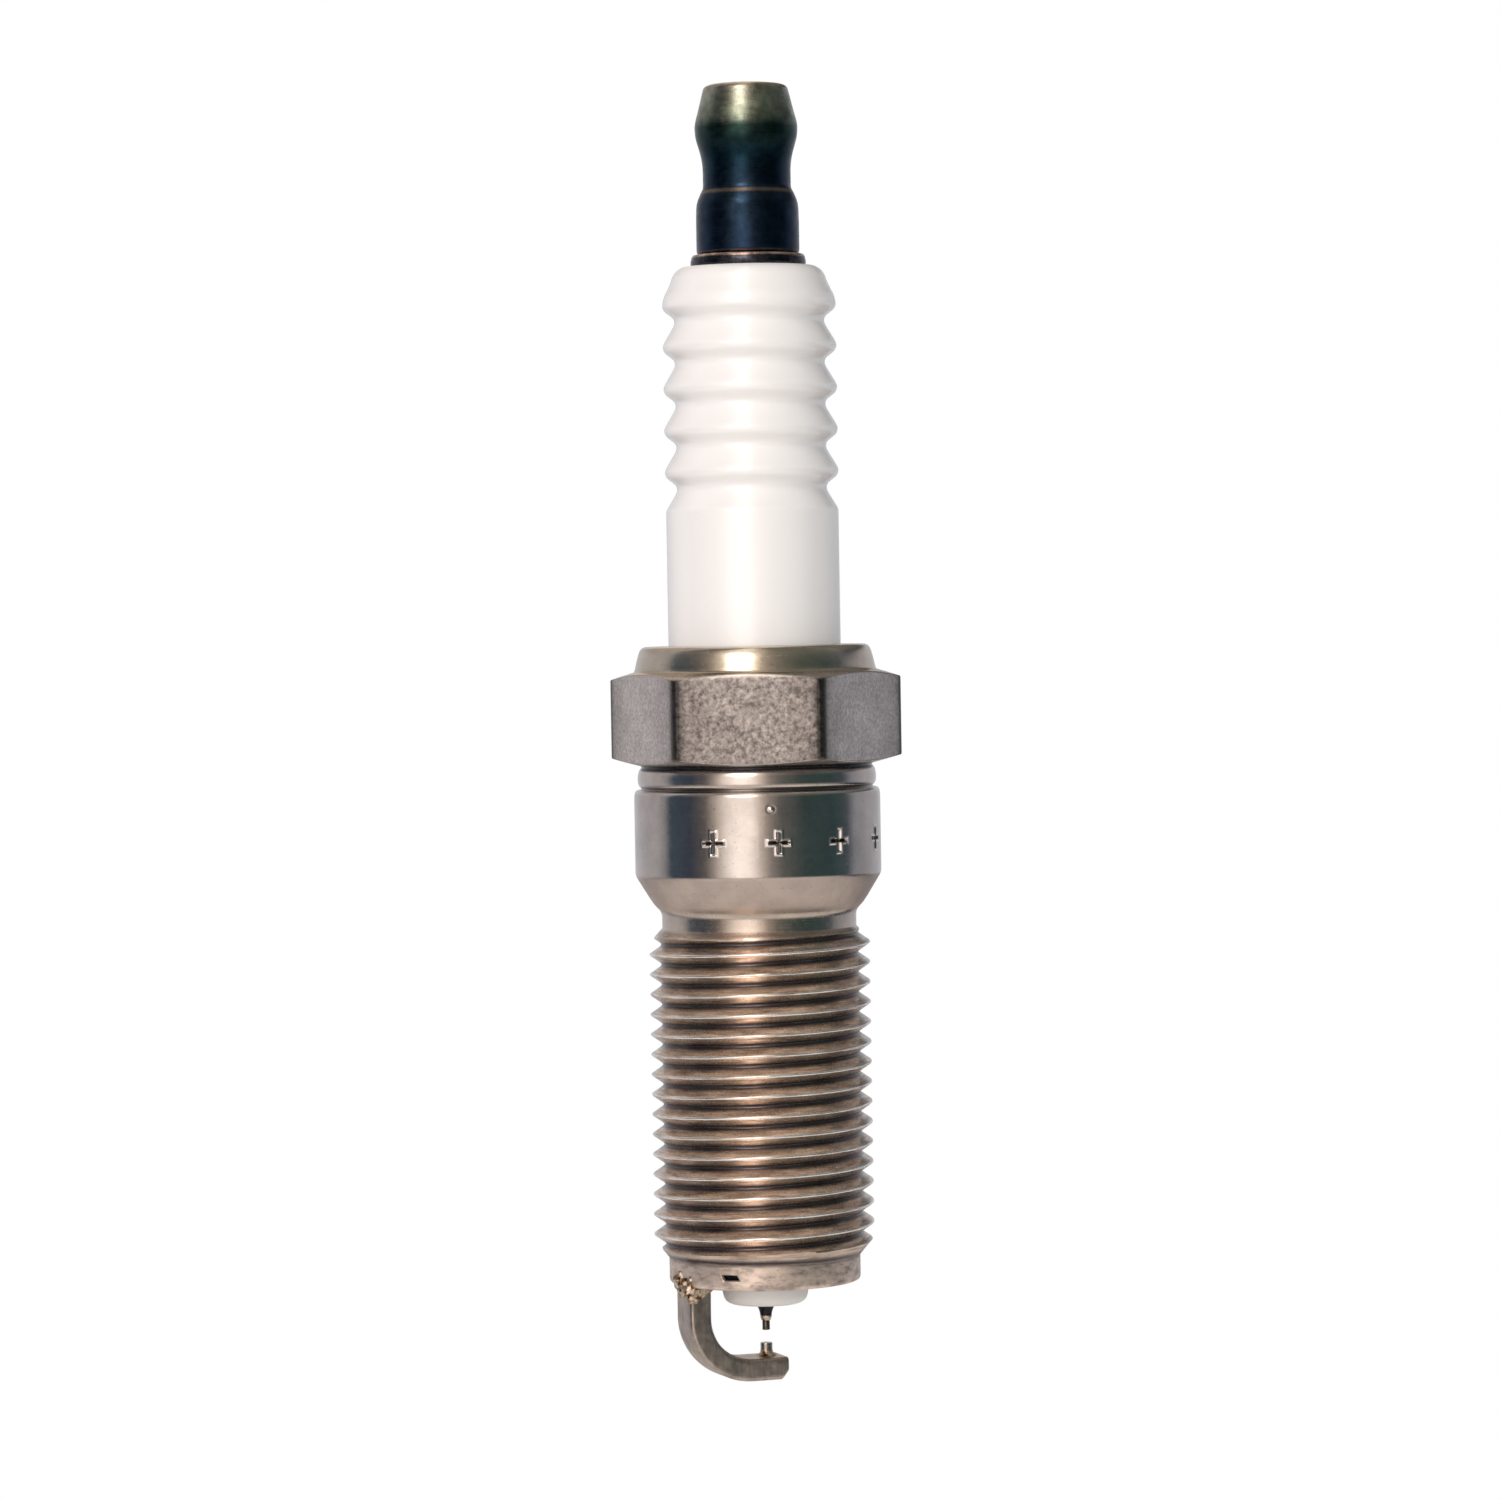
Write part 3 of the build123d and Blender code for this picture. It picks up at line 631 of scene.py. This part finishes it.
class Nodes:
    """Makes and links the nodes of one node tree."""

    def __init__(self, tree):
        self.tree = tree

    def node(self, kind, **settings):
        made = self.tree.nodes.new(kind)
        for key, value in settings.items():
            setattr(made, key, value)
        return made

    def link(self, output, socket):
        self.tree.links.new(output, socket)

    def put(self, value, socket):
        """Sets a socket to a value, or links another node's output to it."""
        if isinstance(value, (int, float, tuple)):
            socket.default_value = value
        else:
            self.link(value, socket)

    def maths(self, operation, a, b=None):
        made = self.node("ShaderNodeMath", operation=operation)
        self.put(a, made.inputs[0])
        if b is not None:
            self.put(b, made.inputs[1])
        return made.outputs[0]

    def span(self, value, low, high, out_low=0.0, out_high=1.0, rise="LINEAR"):
        """Carries a value from one span to another, and holds it at the ends."""
        made = self.node("ShaderNodeMapRange", clamp=True, interpolation_type=rise)
        for socket, number in zip(made.inputs[:5], (value, low, high, out_low, out_high)):
            self.put(number, socket)
        return made.outputs[0]

    def step(self, value, low, high):
        """0 at the low end and 1 at the high end, with a rounded rise between them."""
        return self.span(value, low, high, rise="SMOOTHSTEP")

    def ramp(self, value, stops, low=0.0, high=1.0):
        """A colour ramp whose stops are (place, colour), with places from low to high."""
        made = self.node("ShaderNodeValToRGB")
        elements = made.color_ramp.elements
        while len(elements) < len(stops):
            elements.new(0.5)
        for element, (place, colour) in zip(elements, stops):
            element.position = (place - low) / (high - low)
            element.color = (*colour, 1) if isinstance(colour, tuple) else (colour, colour, colour, 1)
        self.put(self.span(value, low, high), made.inputs[0])
        return made.outputs[0]

    def mix(self, amount, a, b, blend="MIX"):
        made = self.node("ShaderNodeMix", data_type="RGBA", blend_type=blend)
        for socket, value in ((made.inputs["Factor"], amount), (made.inputs[6], a), (made.inputs[7], b)):
            if isinstance(value, tuple):
                value = (*value, 1)
            self.put(value, socket)
        return made.outputs[2]

    def times(self, a, b):
        """One colour multiplied by another."""
        return self.mix(1.0, a, b, "MULTIPLY")


class Shader(Nodes):
    """A material being built, with its places in millimetres."""

    def __init__(self, name):
        self.material = bpy.data.materials.new(name)
        self.material.use_nodes = True
        super().__init__(self.material.node_tree)
        self.surface = self.tree.nodes["Principled BSDF"]
        scaled = self.node("ShaderNodeVectorMath", operation="SCALE")
        coordinates = self.node("ShaderNodeTexCoord")
        self.link(coordinates.outputs["Object"], scaled.inputs[0])
        scaled.inputs["Scale"].default_value = 1 / MM
        self.place = scaled.outputs[0]
        self.normal = coordinates.outputs["Normal"]
        split = self.node("ShaderNodeSeparateXYZ")
        self.link(self.place, split.inputs[0])
        x, y, self.z = split.outputs
        squares = self.maths("ADD", self.maths("POWER", x, 2), self.maths("POWER", y, 2))
        self.radius = self.maths("SQRT", squares)
        self.heights = []

    def between(self, low, high, edge=0.1):
        """1 between two heights and 0 outside them, with an edge this wide."""
        above = self.span(self.z, low, low + edge)
        return self.maths("MULTIPLY", above, self.span(self.z, high, high - edge))

    def stretch(self, sx, sy, sz):
        made = self.node("ShaderNodeMapping")
        self.link(self.place, made.inputs[0])
        made.inputs["Scale"].default_value = (sx, sy, sz)
        return made.outputs[0]

    def grain(self, scale, detail=3.0, roughness=0.55, stretched=(1, 1, 1)):
        made = self.node("ShaderNodeTexNoise")
        self.link(self.stretch(*stretched), made.inputs["Vector"])
        made.inputs["Scale"].default_value = scale
        made.inputs["Detail"].default_value = detail
        made.inputs["Roughness"].default_value = roughness
        return made.outputs["Fac"]

    def raise_by(self, value, micrometres):
        """Adds a height, given by a value from 0 to 1, to the bump."""
        self.heights.append(self.maths("MULTIPLY", value, micrometres * 1e-6))

    def finish(self, colour, roughness, metallic=1.0, **extra):
        self.put((*colour, 1) if isinstance(colour, tuple) else colour, self.surface.inputs["Base Color"])
        self.put(roughness, self.surface.inputs["Roughness"])
        self.put(metallic, self.surface.inputs["Metallic"])
        for key, value in extra.items():
            self.put(value, self.surface.inputs[key])
        if self.heights:
            total = self.heights[0]
            for height in self.heights[1:]:
                total = self.maths("ADD", total, height)
            bump = self.node("ShaderNodeBump")
            bump.inputs["Strength"].default_value = 1.0
            bump.inputs["Distance"].default_value = 1.0
            self.link(total, bump.inputs["Height"])
            self.link(bump.outputs[0], self.surface.inputs["Normal"])
        return self.material


# ---- materials ----


# heights between which the shell's colour ramps run
SHELL_SPAN = (-26.0, 15.0)


def plating_colour_and_painted_light(s):
    """Colour of the plating by height, with painted shade in two grooves and painted highlights on two
    edges.
    """
    stops = [
        (-25.1, (0.76, 0.645, 0.575)),
        (-23.6, (0.74, 0.62, 0.545)),
        (-23.2, (0.71, 0.595, 0.52)),
        (-3.2, (0.71, 0.6, 0.52)),
        (-2.7, (0.68, 0.58, 0.49)),
        (-1.9, (0.62, 0.52, 0.45)),
        (-1.5, (0.62, 0.51, 0.455)),
        (0.4, (0.62, 0.52, 0.465)),
        (0.7, (0.62, 0.56, 0.525)),
        (5.6, (0.62, 0.55, 0.505)),
        # painted highlight along the collar's rounded top edge
        (5.78, (0.85, 0.76, 0.7)),
        # painted shade in the groove between the ring and the collar
        (5.86, (0.26, 0.24, 0.235)),
        (5.97, (0.34, 0.31, 0.3)),
        (6.1, (0.66, 0.58, 0.53)),
        (7.0, (0.66, 0.58, 0.53)),
        # painted shade in the groove under the hexagon
        (7.12, (0.14, 0.135, 0.14)),
        (7.32, (0.14, 0.135, 0.14)),
        (7.45, (0.5, 0.44, 0.415)),
        (12.85, (0.5, 0.44, 0.415)),
        # painted highlight along the hexagon's top edge
        (13.0, (0.7, 0.62, 0.56)),
        (13.2, (0.68, 0.58, 0.46)),
        (14.8, (0.68, 0.59, 0.49)),
    ]
    return s.ramp(s.z, stops, *SHELL_SPAN)


def plating_roughness(s, lines):
    """Roughness of the plating by height, with turning lines and smears."""
    stops = [
        (-25.0, 0.46),
        (-23.5, 0.42),
        (-23.2, 0.2),
        (-3.0, 0.2),
        (-2.7, 0.17),
        (-1.9, 0.2),
        (-1.5, 0.42),
        (0.35, 0.42),
        (0.6, 0.1),
        (5.5, 0.1),
        (7.3, 0.14),
        (7.45, 0.34),
        (12.9, 0.34),
        (13.2, 0.16),
        (14.8, 0.17),
    ]
    even = s.maths("ADD", s.ramp(s.z, stops, *SHELL_SPAN), s.span(lines, 0.3, 0.7, -0.05, 0.07))
    return s.maths("ADD", even, s.span(s.grain(3.0), 0.35, 0.7, -0.03, 0.06))


def thread_painted_light_and_marks(s, tint):
    """Painted shade in the thread's roots, painted highlights on its crests, and marks left by turning."""
    in_thread = s.maths("MULTIPLY", s.span(s.z, -23.6, -23.3), s.span(s.z, -2.9, -3.2))
    # darker towards the roots as painted shade, lighter and bluer towards the crests as painted highlight
    painted_light_depth_stops = [
        (6.17, (0.12, 0.125, 0.16)),
        (6.25, (0.36, 0.36, 0.4)),
        (6.36, (0.84, 0.82, 0.8)),
        (6.7, (1.0, 0.98, 0.96)),
        (6.83, (1.1, 1.12, 1.12)),
        (6.88, (1.42, 1.6, 1.8)),
    ]
    painted_light_by_depth = s.ramp(s.radius, painted_light_depth_stops, 6.1, 6.95)
    tint = s.mix(in_thread, tint, s.times(tint, painted_light_by_depth))
    mark_stops = [
        (0.34, (0.56, 0.5, 0.47)),
        (0.45, (0.88, 0.84, 0.8)),
        (0.55, (1.08, 1.06, 1.03)),
        (0.66, (1.3, 1.32, 1.3)),
    ]
    turned_marks = s.ramp(s.grain(1.0, 4.0, 0.7, (0.5, 0.5, 6.5)), mark_stops)
    return s.mix(in_thread, tint, s.times(tint, turned_marks))


def paint_light_on_marks(s, tint):
    """Painted shade in the bottoms of the slot and the crosses, and painted highlights on the raised rims
    round the crosses and on the dot.
    """
    # painted shade on the slot's floor
    slot_painted_shade = s.maths("MULTIPLY", s.between(-24.6, -23.6), s.span(s.radius, 5.9, 5.7))
    tint = s.mix(slot_painted_shade, tint, (0.012, 0.014, 0.02))
    on_collar = s.between(1.5, 5.2)
    # painted shade in the sunk bottoms of the crosses
    tint = s.mix(s.maths("MULTIPLY", on_collar, s.span(s.radius, 7.67, 7.62)), tint, (0.11, 0.1, 0.1))
    # painted highlight on the raised rims of the crosses and on the raised dot
    return s.mix(s.maths("MULTIPLY", on_collar, s.span(s.radius, 7.7, 7.73)), tint, (0.95, 0.88, 0.84))


def grain_and_paint_light_on_hexagon(s, tint, in_hex):
    """Cold-formed hexagon: painted shade at the corners, coarse grain struck on the front face that also
    darkens it as painted shade, painted light on the side faces, fine grain on all.
    """
    # painted shade darkening the hexagon towards its corners
    corner_shade_stops = [(7.93, 1.04), (8.25, 0.98), (8.75, 0.8), (8.92, 0.55), (9.0, 0.2)]
    painted_corner_shade = s.ramp(s.radius, corner_shade_stops, 7.9, 9.1)
    tint = s.mix(in_hex, tint, s.times(tint, painted_corner_shade))
    facing = s.node("ShaderNodeVectorMath", operation="DOT_PRODUCT")
    s.link(s.normal, facing.inputs[0])
    angle = math.radians(HEX_FRONT_DEG)
    facing.inputs[1].default_value = (math.cos(angle), math.sin(angle), 0)
    front = s.span(facing.outputs["Value"], 0.9, 0.98)
    coarse = s.grain(3.0, 4.0, 0.66)
    # the front face's grain, mostly below one, also paints shade over that face
    front_grain_and_shade = s.ramp(coarse, [(0.36, 0.36), (0.45, 0.6), (0.54, 0.8), (0.66, 1.08)])
    on_front = s.maths("MULTIPLY", in_hex, front)
    tint = s.mix(on_front, tint, s.times(tint, front_grain_and_shade))
    # painted light: the side faces made half again as light
    painted_light_on_sides = s.maths("MULTIPLY", in_hex, s.maths("SUBTRACT", 1.0, front))
    tint = s.mix(painted_light_on_sides, tint, s.times(tint, (1.5, 1.52, 1.5)))
    fine = s.grain(5.0, 3.0, 0.62)
    soft = s.ramp(fine, [(0.35, 0.68), (0.65, 1.2)])
    s.raise_by(s.maths("MULTIPLY", coarse, on_front), 26)
    s.raise_by(s.maths("MULTIPLY", fine, in_hex), 6)
    return s.mix(s.maths("MULTIPLY", in_hex, 0.8), tint, s.times(tint, soft))


def stain_pilot(s, tint):
    """Heat stains on the plain end below the thread."""
    stops = [(0.36, (0.55, 0.52, 0.52)), (0.5, (0.96, 0.93, 0.9)), (0.64, (1.16, 1.12, 1.1))]
    heat = s.ramp(s.grain(1.5, 4.0, 0.62, (0.7, 0.7, 1.6)), stops)
    return s.mix(s.span(s.z, -23.2, -23.6), tint, s.times(tint, heat))


def nickel_plated_steel():
    s = Shader("nickel_plated_steel")
    in_hex = s.maths("MULTIPLY", s.span(s.z, 7.42, 7.6), s.span(s.z, 13.0, 12.8))
    lines = s.grain(1.0, 2.0, 0.6, (0.12, 0.12, 14.0))
    tint = thread_painted_light_and_marks(s, plating_colour_and_painted_light(s))
    tint = paint_light_on_marks(s, tint)
    tint = grain_and_paint_light_on_hexagon(s, tint, in_hex)
    tint = stain_pilot(s, tint)
    # wide faint stains and small flecks everywhere
    tint = s.times(tint, s.ramp(s.grain(0.55, 4.0, 0.6), [(0.35, 0.88), (0.65, 1.06)]))
    fleck = s.ramp(s.grain(5.5, 2.0, 0.5), [(0.27, 0.6), (0.33, 1.0)])
    tint = s.mix(0.7, tint, fleck, "MULTIPLY")
    s.raise_by(s.maths("MULTIPLY", lines, s.maths("SUBTRACT", 1.0, in_hex)), 0.8)
    s.raise_by(s.grain(9.0), 0.5)
    metallic = s.ramp(s.z, [(-23.5, 0.82), (-23.3, 0.91), (-3.0, 0.91), (-2.8, 1.0)], *SHELL_SPAN)
    return s.finish(tint, plating_roughness(s, lines), metallic)


def glazed_alumina():
    s = Shader("glazed_alumina")
    nose = s.span(s.z, -12.0, -13.0)
    colour = s.mix(nose, (0.93, 0.905, 0.9), (0.86, 0.83, 0.8))
    speck = s.ramp(s.grain(3.4, 2.0), [(0.22, 0.93), (0.3, 1.0)])
    colour = s.times(colour, speck)
    roughness = s.maths("ADD", s.span(nose, 0, 1, 0.07, 0.6), s.span(s.grain(1.2), 0.3, 0.7, 0.0, 0.03))
    s.raise_by(s.grain(0.5, 2.0), 10)
    s.raise_by(s.maths("MULTIPLY", s.grain(8.0), nose), 8)
    return s.finish(colour, roughness, 0.0, IOR=2.0)


def terminal_steel_with_painted_light():
    s = Shader("terminal_steel")
    colour = s.ramp(
        s.z,
        [
            # painted copper-pink highlight where the nut meets the flange
            (39.15, (0.24, 0.16, 0.135)),
            (39.3, (0.022, 0.04, 0.075)),
            (42.78, (0.022, 0.042, 0.07)),
            # painted warm highlight line along the step
            (42.93, (0.23, 0.17, 0.14)),
            (43.0, (0.21, 0.16, 0.13)),
            (43.12, (0.022, 0.04, 0.07)),
            (45.4, (0.01, 0.032, 0.05)),
            (46.9, (0.03, 0.06, 0.05)),
            # the head painted lighter, olive to bronze, as painted reflection of the light from above
            (47.7, (0.3, 0.33, 0.25)),
            (49.3, (0.4, 0.39, 0.31)),
            (49.62, (0.55, 0.44, 0.36)),
        ],
        39.0,
        50.0,
    )
    patch = s.ramp(s.grain(1.1, 4.0, 0.6), [(0.35, 0.65), (0.65, 1.2)])
    colour = s.times(colour, patch)
    lines = s.grain(1.0, 3.0, 0.65, (0.3, 0.3, 9.0))
    scratch = s.grain(1.0, 2.0, 0.5, (5.0, 5.0, 0.5))
    smear = s.span(s.grain(2.5), 0.3, 0.7, 0.2, 0.34)
    roughness = s.maths("ADD", smear, s.span(lines, 0.35, 0.65, -0.03, 0.05))
    s.raise_by(lines, 1.5)
    s.raise_by(scratch, 2.2)
    s.raise_by(s.grain(6.0), 0.8)
    return s.finish(colour, roughness)


def stud_steel():
    s = Shader("stud_steel")
    # dark flange, a painted copper-pink highlight along its upper edge, plain steel above
    stops = [
        (38.85, (0.05, 0.05, 0.062)),
        (38.97, (0.7, 0.48, 0.38)),
        (39.03, (0.7, 0.48, 0.38)),
        (39.07, (0.4, 0.38, 0.36)),
    ]
    colour = s.ramp(s.z, stops, 38.0, 40.0)
    glint = s.ramp(s.grain(2.6, 3.0, 0.6), [(0.4, 0.7), (0.62, 1.5)])
    colour = s.times(colour, glint)
    s.raise_by(s.grain(1.0, 2.0, 0.5, (0.4, 0.4, 12.0)), 2)
    s.raise_by(s.grain(3.5), 6)
    return s.finish(colour, s.span(s.grain(3.0), 0.3, 0.7, 0.18, 0.32))


def nickel_alloy():
    s = Shader("nickel_alloy")
    patch = s.ramp(s.grain(0.9, 4.0, 0.6), [(0.35, (0.37, 0.31, 0.275)), (0.65, (0.58, 0.49, 0.42))])
    streak = s.grain(1.0, 3.0, 0.65, (6.0, 6.0, 0.7))
    colour = s.mix(0.6, patch, s.ramp(streak, [(0.35, 0.75), (0.65, 1.15)]), "MULTIPLY")
    # the centre electrode is burnt dark, the strap is not
    wire = s.maths("MULTIPLY", s.span(s.radius, 1.32, 1.25), s.span(s.z, -28.3, -28.0))
    colour = s.mix(wire, colour, (0.035, 0.034, 0.042))
    roughness = s.span(s.grain(2.2), 0.3, 0.7, 0.3, 0.44)
    s.raise_by(streak, 3)
    s.raise_by(s.grain(5.0), 1.5)
    return s.finish(colour, roughness)


def rippled_metal():
    s = Shader("weld_metal")
    stops = [
        (0.36, (0.07, 0.045, 0.035)),
        (0.45, (0.42, 0.26, 0.15)),
        (0.54, (0.68, 0.57, 0.45)),
        (0.64, (0.82, 0.76, 0.7)),
    ]
    colour = s.ramp(s.grain(2.6, 4.0, 0.65), stops)
    s.raise_by(s.grain(4.5), 40)
    s.raise_by(s.grain(12.0), 10)
    return s.finish(colour, s.span(s.grain(4.0), 0.3, 0.7, 0.25, 0.5))


def plain_finish(name, colour, roughness, metallic, scale=2.0, height=8, contrast=0.25):
    """A finish with a grain in its colour, its roughness and its height."""
    s = Shader(name)
    cells = s.grain(scale, 4.0, 0.6)
    shade = s.ramp(cells, [(0.3, 1 - contrast), (0.7, 1 + contrast)])
    tint = s.times(colour, shade)
    s.raise_by(cells, height)
    s.raise_by(s.grain(scale * 4), height / 3)
    return s.finish(tint, s.span(cells, 0.3, 0.7, roughness - 0.06, roughness + 0.08), metallic)


def pin_metal(name, colour):
    s = Shader(name)
    lines = s.grain(1.0, 2.0, 0.5, (1.0, 1.0, 16.0))
    shade = s.ramp(s.grain(3.5, 3.0), [(0.35, 0.7), (0.65, 1.15)])
    s.raise_by(lines, 5)
    return s.finish(s.times(colour, shade), s.span(lines, 0.3, 0.7, 0.22, 0.34))


def all_materials():
    return {
        "terminal_steel": terminal_steel_with_painted_light(),
        "stud_steel": stud_steel(),
        "glazed_alumina": glazed_alumina(),
        "nickel_plated_steel": nickel_plated_steel(),
        "ring_steel": plain_finish("ring_steel", (0.5, 0.49, 0.47), 0.3, 1.0),
        "washer_steel": plain_finish("washer_steel", (0.5, 0.48, 0.45), 0.34, 1.0),
        "talc": plain_finish("talc", (0.82, 0.8, 0.76), 0.85, 0.0, 3.0, 25, 0.1),
        "copper_glass": plain_finish("copper_glass", (0.34, 0.22, 0.15), 0.55, 0.35, 3.5, 25, 0.4),
        "resistor_glass": plain_finish("resistor_glass", (0.12, 0.12, 0.12), 0.6, 0.0, 3.5, 25, 0.4),
        "nickel_alloy": nickel_alloy(),
        "copper": plain_finish("copper", (0.72, 0.38, 0.22), 0.3, 1.0),
        "weld_metal": rippled_metal(),
        "iridium": pin_metal("iridium", (0.16, 0.14, 0.13)),
        "platinum": pin_metal("platinum", (0.5, 0.46, 0.42)),
    }


# ---- the pieces in place ----


def place(obj, node, body, slot, materials):
    obj.data.materials.clear()
    obj.data.materials.append(materials[slot])
    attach(obj, body)
    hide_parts(node)


def build_plug():
    materials = all_materials()
    pieces = [
        (make_nut(), "terminal_nut", "nut", "terminal_steel"),
        (make_stud(), "terminal_stud", "plug", "stud_steel"),
        (make_insulator(), "insulator", "plug", "glazed_alumina"),
        (make_shell(), "metal_shell", "plug", "nickel_plated_steel"),
        (make_centre_electrode(), "centre_electrode", "plug", "nickel_alloy"),
        (make_tip_weld(), "centre_tip_weld", "plug", "weld_metal"),
        (make_fine_pin(), "iridium_tip", "plug", "iridium"),
        (make_strap(), "ground_electrode", "plug", "nickel_alloy"),
        (make_root_weld(), "ground_root_weld", "plug", "weld_metal"),
        (make_ground_pin(), "platinum_pin", "plug", "platinum"),
        (make_pin_weld(), "pin_weld", "plug", "weld_metal"),
    ]
    for obj, node, body, slot in pieces:
        place(obj, node, body, slot, materials)
    replaced = {node for _, node, _, _ in pieces}
    for part in frame["record"]["subparts"]:
        if part["node"] not in replaced:
            data = frame["nodes"][part["node"]].data
            data.materials.clear()
            data.materials.append(materials[part["material_slot"]])


# ---- studio ----

# light from round the plug: degrees from the camera's side, positive to the camera's right
ROUND_STOPS = [
    (-180, (0.62, 0.64, 0.68)),
    (-130, (0.52, 0.52, 0.55)),
    (-108, (0.49, 0.49, 0.51)),
    (-98, (0.34, 0.35, 0.38)),
    (-90, (0.07, 0.1, 0.135)),
    (-66, (0.055, 0.07, 0.1)),
    (-50, (0.15, 0.14, 0.14)),
    (-41, (0.5, 0.45, 0.4)),
    (-30, (1.15, 1.07, 1.0)),
    (-18, (1.6, 1.5, 1.42)),
    (-6, (1.5, 1.4, 1.31)),
    (3, (0.8, 0.71, 0.63)),
    (11, (0.36, 0.325, 0.3)),
    (22, (0.15, 0.155, 0.15)),
    (45, (0.05, 0.08, 0.08)),
    (75, (0.045, 0.08, 0.085)),
    (92, (0.08, 0.105, 0.125)),
    (104, (0.31, 0.33, 0.37)),
    (125, (0.42, 0.43, 0.47)),
    (179, (0.62, 0.64, 0.68)),
]
# light from behind the plug and well above eye level: by how far to the right the direction points
BEHIND_STOPS = [
    (-1.0, (0.4, 0.41, 0.45)),
    (-0.35, (0.42, 0.38, 0.36)),
    (-0.12, (0.95, 0.84, 0.74)),
    (0.04, (1.0, 0.86, 0.7)),
    (0.13, (0.4, 0.33, 0.26)),
    (0.22, (0.07, 0.075, 0.09)),
    (1.0, (0.04, 0.055, 0.08)),
]
# the same, from well below eye level
UNDER_STOPS = [
    (-1.0, (0.3, 0.31, 0.35)),
    (-0.3, (0.34, 0.31, 0.3)),
    (-0.1, (0.3, 0.27, 0.25)),
    (0.1, (0.2, 0.15, 0.12)),
    (0.3, (0.24, 0.14, 0.09)),
    (0.5, (0.05, 0.06, 0.08)),
    (1.0, (0.03, 0.045, 0.07)),
]


# towards the key lamp: high in front and a little to the left
KEY_DIRECTION = (-0.235, -0.84, 0.49)


def build_world():
    """White to the camera; to the surfaces, soft panels and dark gaps round the plug and one warm lamp."""
    world = bpy.data.worlds.new("studio")
    world.use_nodes = True
    world.node_tree.nodes.clear()
    s = Nodes(world.node_tree)
    direction = s.node("ShaderNodeTexCoord").outputs["Generated"]
    split = s.node("ShaderNodeSeparateXYZ")
    s.link(direction, split.inputs[0])
    x, y, z = split.outputs
    turn = s.maths("DEGREES", s.maths("ARCTAN2", x, s.maths("MULTIPLY", y, -1.0)))
    around = s.ramp(turn, ROUND_STOPS, -180, 180)
    under = s.step(z, -0.15, -0.35)
    behind = s.mix(under, s.ramp(x, BEHIND_STOPS, -1.0, 1.0), s.ramp(x, UNDER_STOPS, -1.0, 1.0))
    off_level = s.step(s.maths("ABSOLUTE", z), 0.2, 0.38)
    surround = s.mix(s.maths("MULTIPLY", s.step(y, -0.1, 0.3), off_level), around, behind)
    low_front = s.maths("MULTIPLY", s.step(y, 0.2, -0.1), s.step(z, -0.25, -0.5))
    surround = s.mix(low_front, surround, (0.55, 0.5, 0.46))
    overhead = s.maths("MULTIPLY", s.step(z, 0.25, 0.6), 0.17)
    surround = s.mix(overhead, surround, (0.75, 0.68, 0.55))
    toward_key = s.node("ShaderNodeVectorMath", operation="DOT_PRODUCT")
    s.link(direction, toward_key.inputs[0])
    toward_key.inputs[1].default_value = Vector(KEY_DIRECTION).normalized()
    glow = s.step(toward_key.outputs["Value"], math.cos(math.radians(15)), math.cos(math.radians(7)))
    surround = s.mix(glow, surround, (5.0, 4.6, 4.3))
    to_camera = s.node("ShaderNodeLightPath").outputs["Is Camera Ray"]
    background = s.node("ShaderNodeBackground")
    s.link(s.mix(to_camera, surround, (1.0, 1.0, 1.0)), background.inputs["Color"])
    s.link(background.outputs[0], s.node("ShaderNodeOutputWorld").inputs["Surface"])
    bpy.context.scene.world = world


def add_fill(name, spot, target, size, power, colour):
    """A wide soft lamp that lights matt surfaces only."""
    lamp = bpy.data.lights.new(name, "AREA")
    lamp.shape = "RECTANGLE"
    lamp.size, lamp.size_y = size
    lamp.energy = power
    lamp.color = colour
    obj = bpy.data.objects.new(name, lamp)
    obj.location = Vector(spot) * MM
    obj.rotation_euler = (Vector(target) - Vector(spot)).to_track_quat("-Z", "Y").to_euler()
    obj.visible_glossy = False
    bpy.context.collection.objects.link(obj)


FLOOR_Z = -78
FLOOR_R = 150


def build_studio():
    """World light, two fills and a round floor well below the plug."""
    build_world()
    add_fill("fill_left", (-190, -260, 120), (0, 0, 15), (0.2, 0.3), 0.5, (0.985, 0.98, 0.98))
    add_fill("fill_right", (240, -170, 60), (0, 0, 15), (0.2, 0.3), 0.24, (0.97, 0.985, 1.0))
    spot = (0, 0, FLOOR_Z * MM)
    bpy.ops.mesh.primitive_circle_add(vertices=96, radius=FLOOR_R * MM, fill_type="NGON", location=spot)
    floor = bpy.context.object
    floor.name = "studio_floor"
    s = Shader("studio_floor")
    shade = s.ramp(s.grain(0.05, 3.0), [(0.3, (0.93, 0.93, 0.925)), (0.7, (0.96, 0.96, 0.955))])
    floor.data.materials.append(s.finish(shade, 0.8, 0.0))


SENSOR_WIDTH = 36.0
# millimetres across the picture at the plug's axis
PICTURE_WIDTH = 93.75
CAMERA_DISTANCE = 330.0
CAMERA_ROLL_DEG = -0.97


def build_camera():
    """Nearly level camera a third of a metre in front, a little rolled."""
    lens = bpy.data.cameras.new("camera")
    lens.sensor_width = SENSOR_WIDTH
    eye = Vector((-0.4, -CAMERA_DISTANCE, 17.0))
    aim = Vector((-0.4, 0.0, 8.2))
    lens.lens = SENSOR_WIDTH * (aim - eye).length / PICTURE_WIDTH
    lens.clip_start = 0.01
    lens.clip_end = 20.0
    camera = bpy.data.objects.new("camera", lens)
    camera.location = eye * MM
    look = (aim - eye).to_track_quat("-Z", "Y").to_matrix()
    camera.rotation_euler = (look @ Matrix.Rotation(math.radians(CAMERA_ROLL_DEG), 3, "Z")).to_euler()
    bpy.context.collection.objects.link(camera)
    bpy.context.scene.camera = camera


build_plug()
build_studio()
build_camera()
bpy.context.scene.view_settings.view_transform = "Standard"
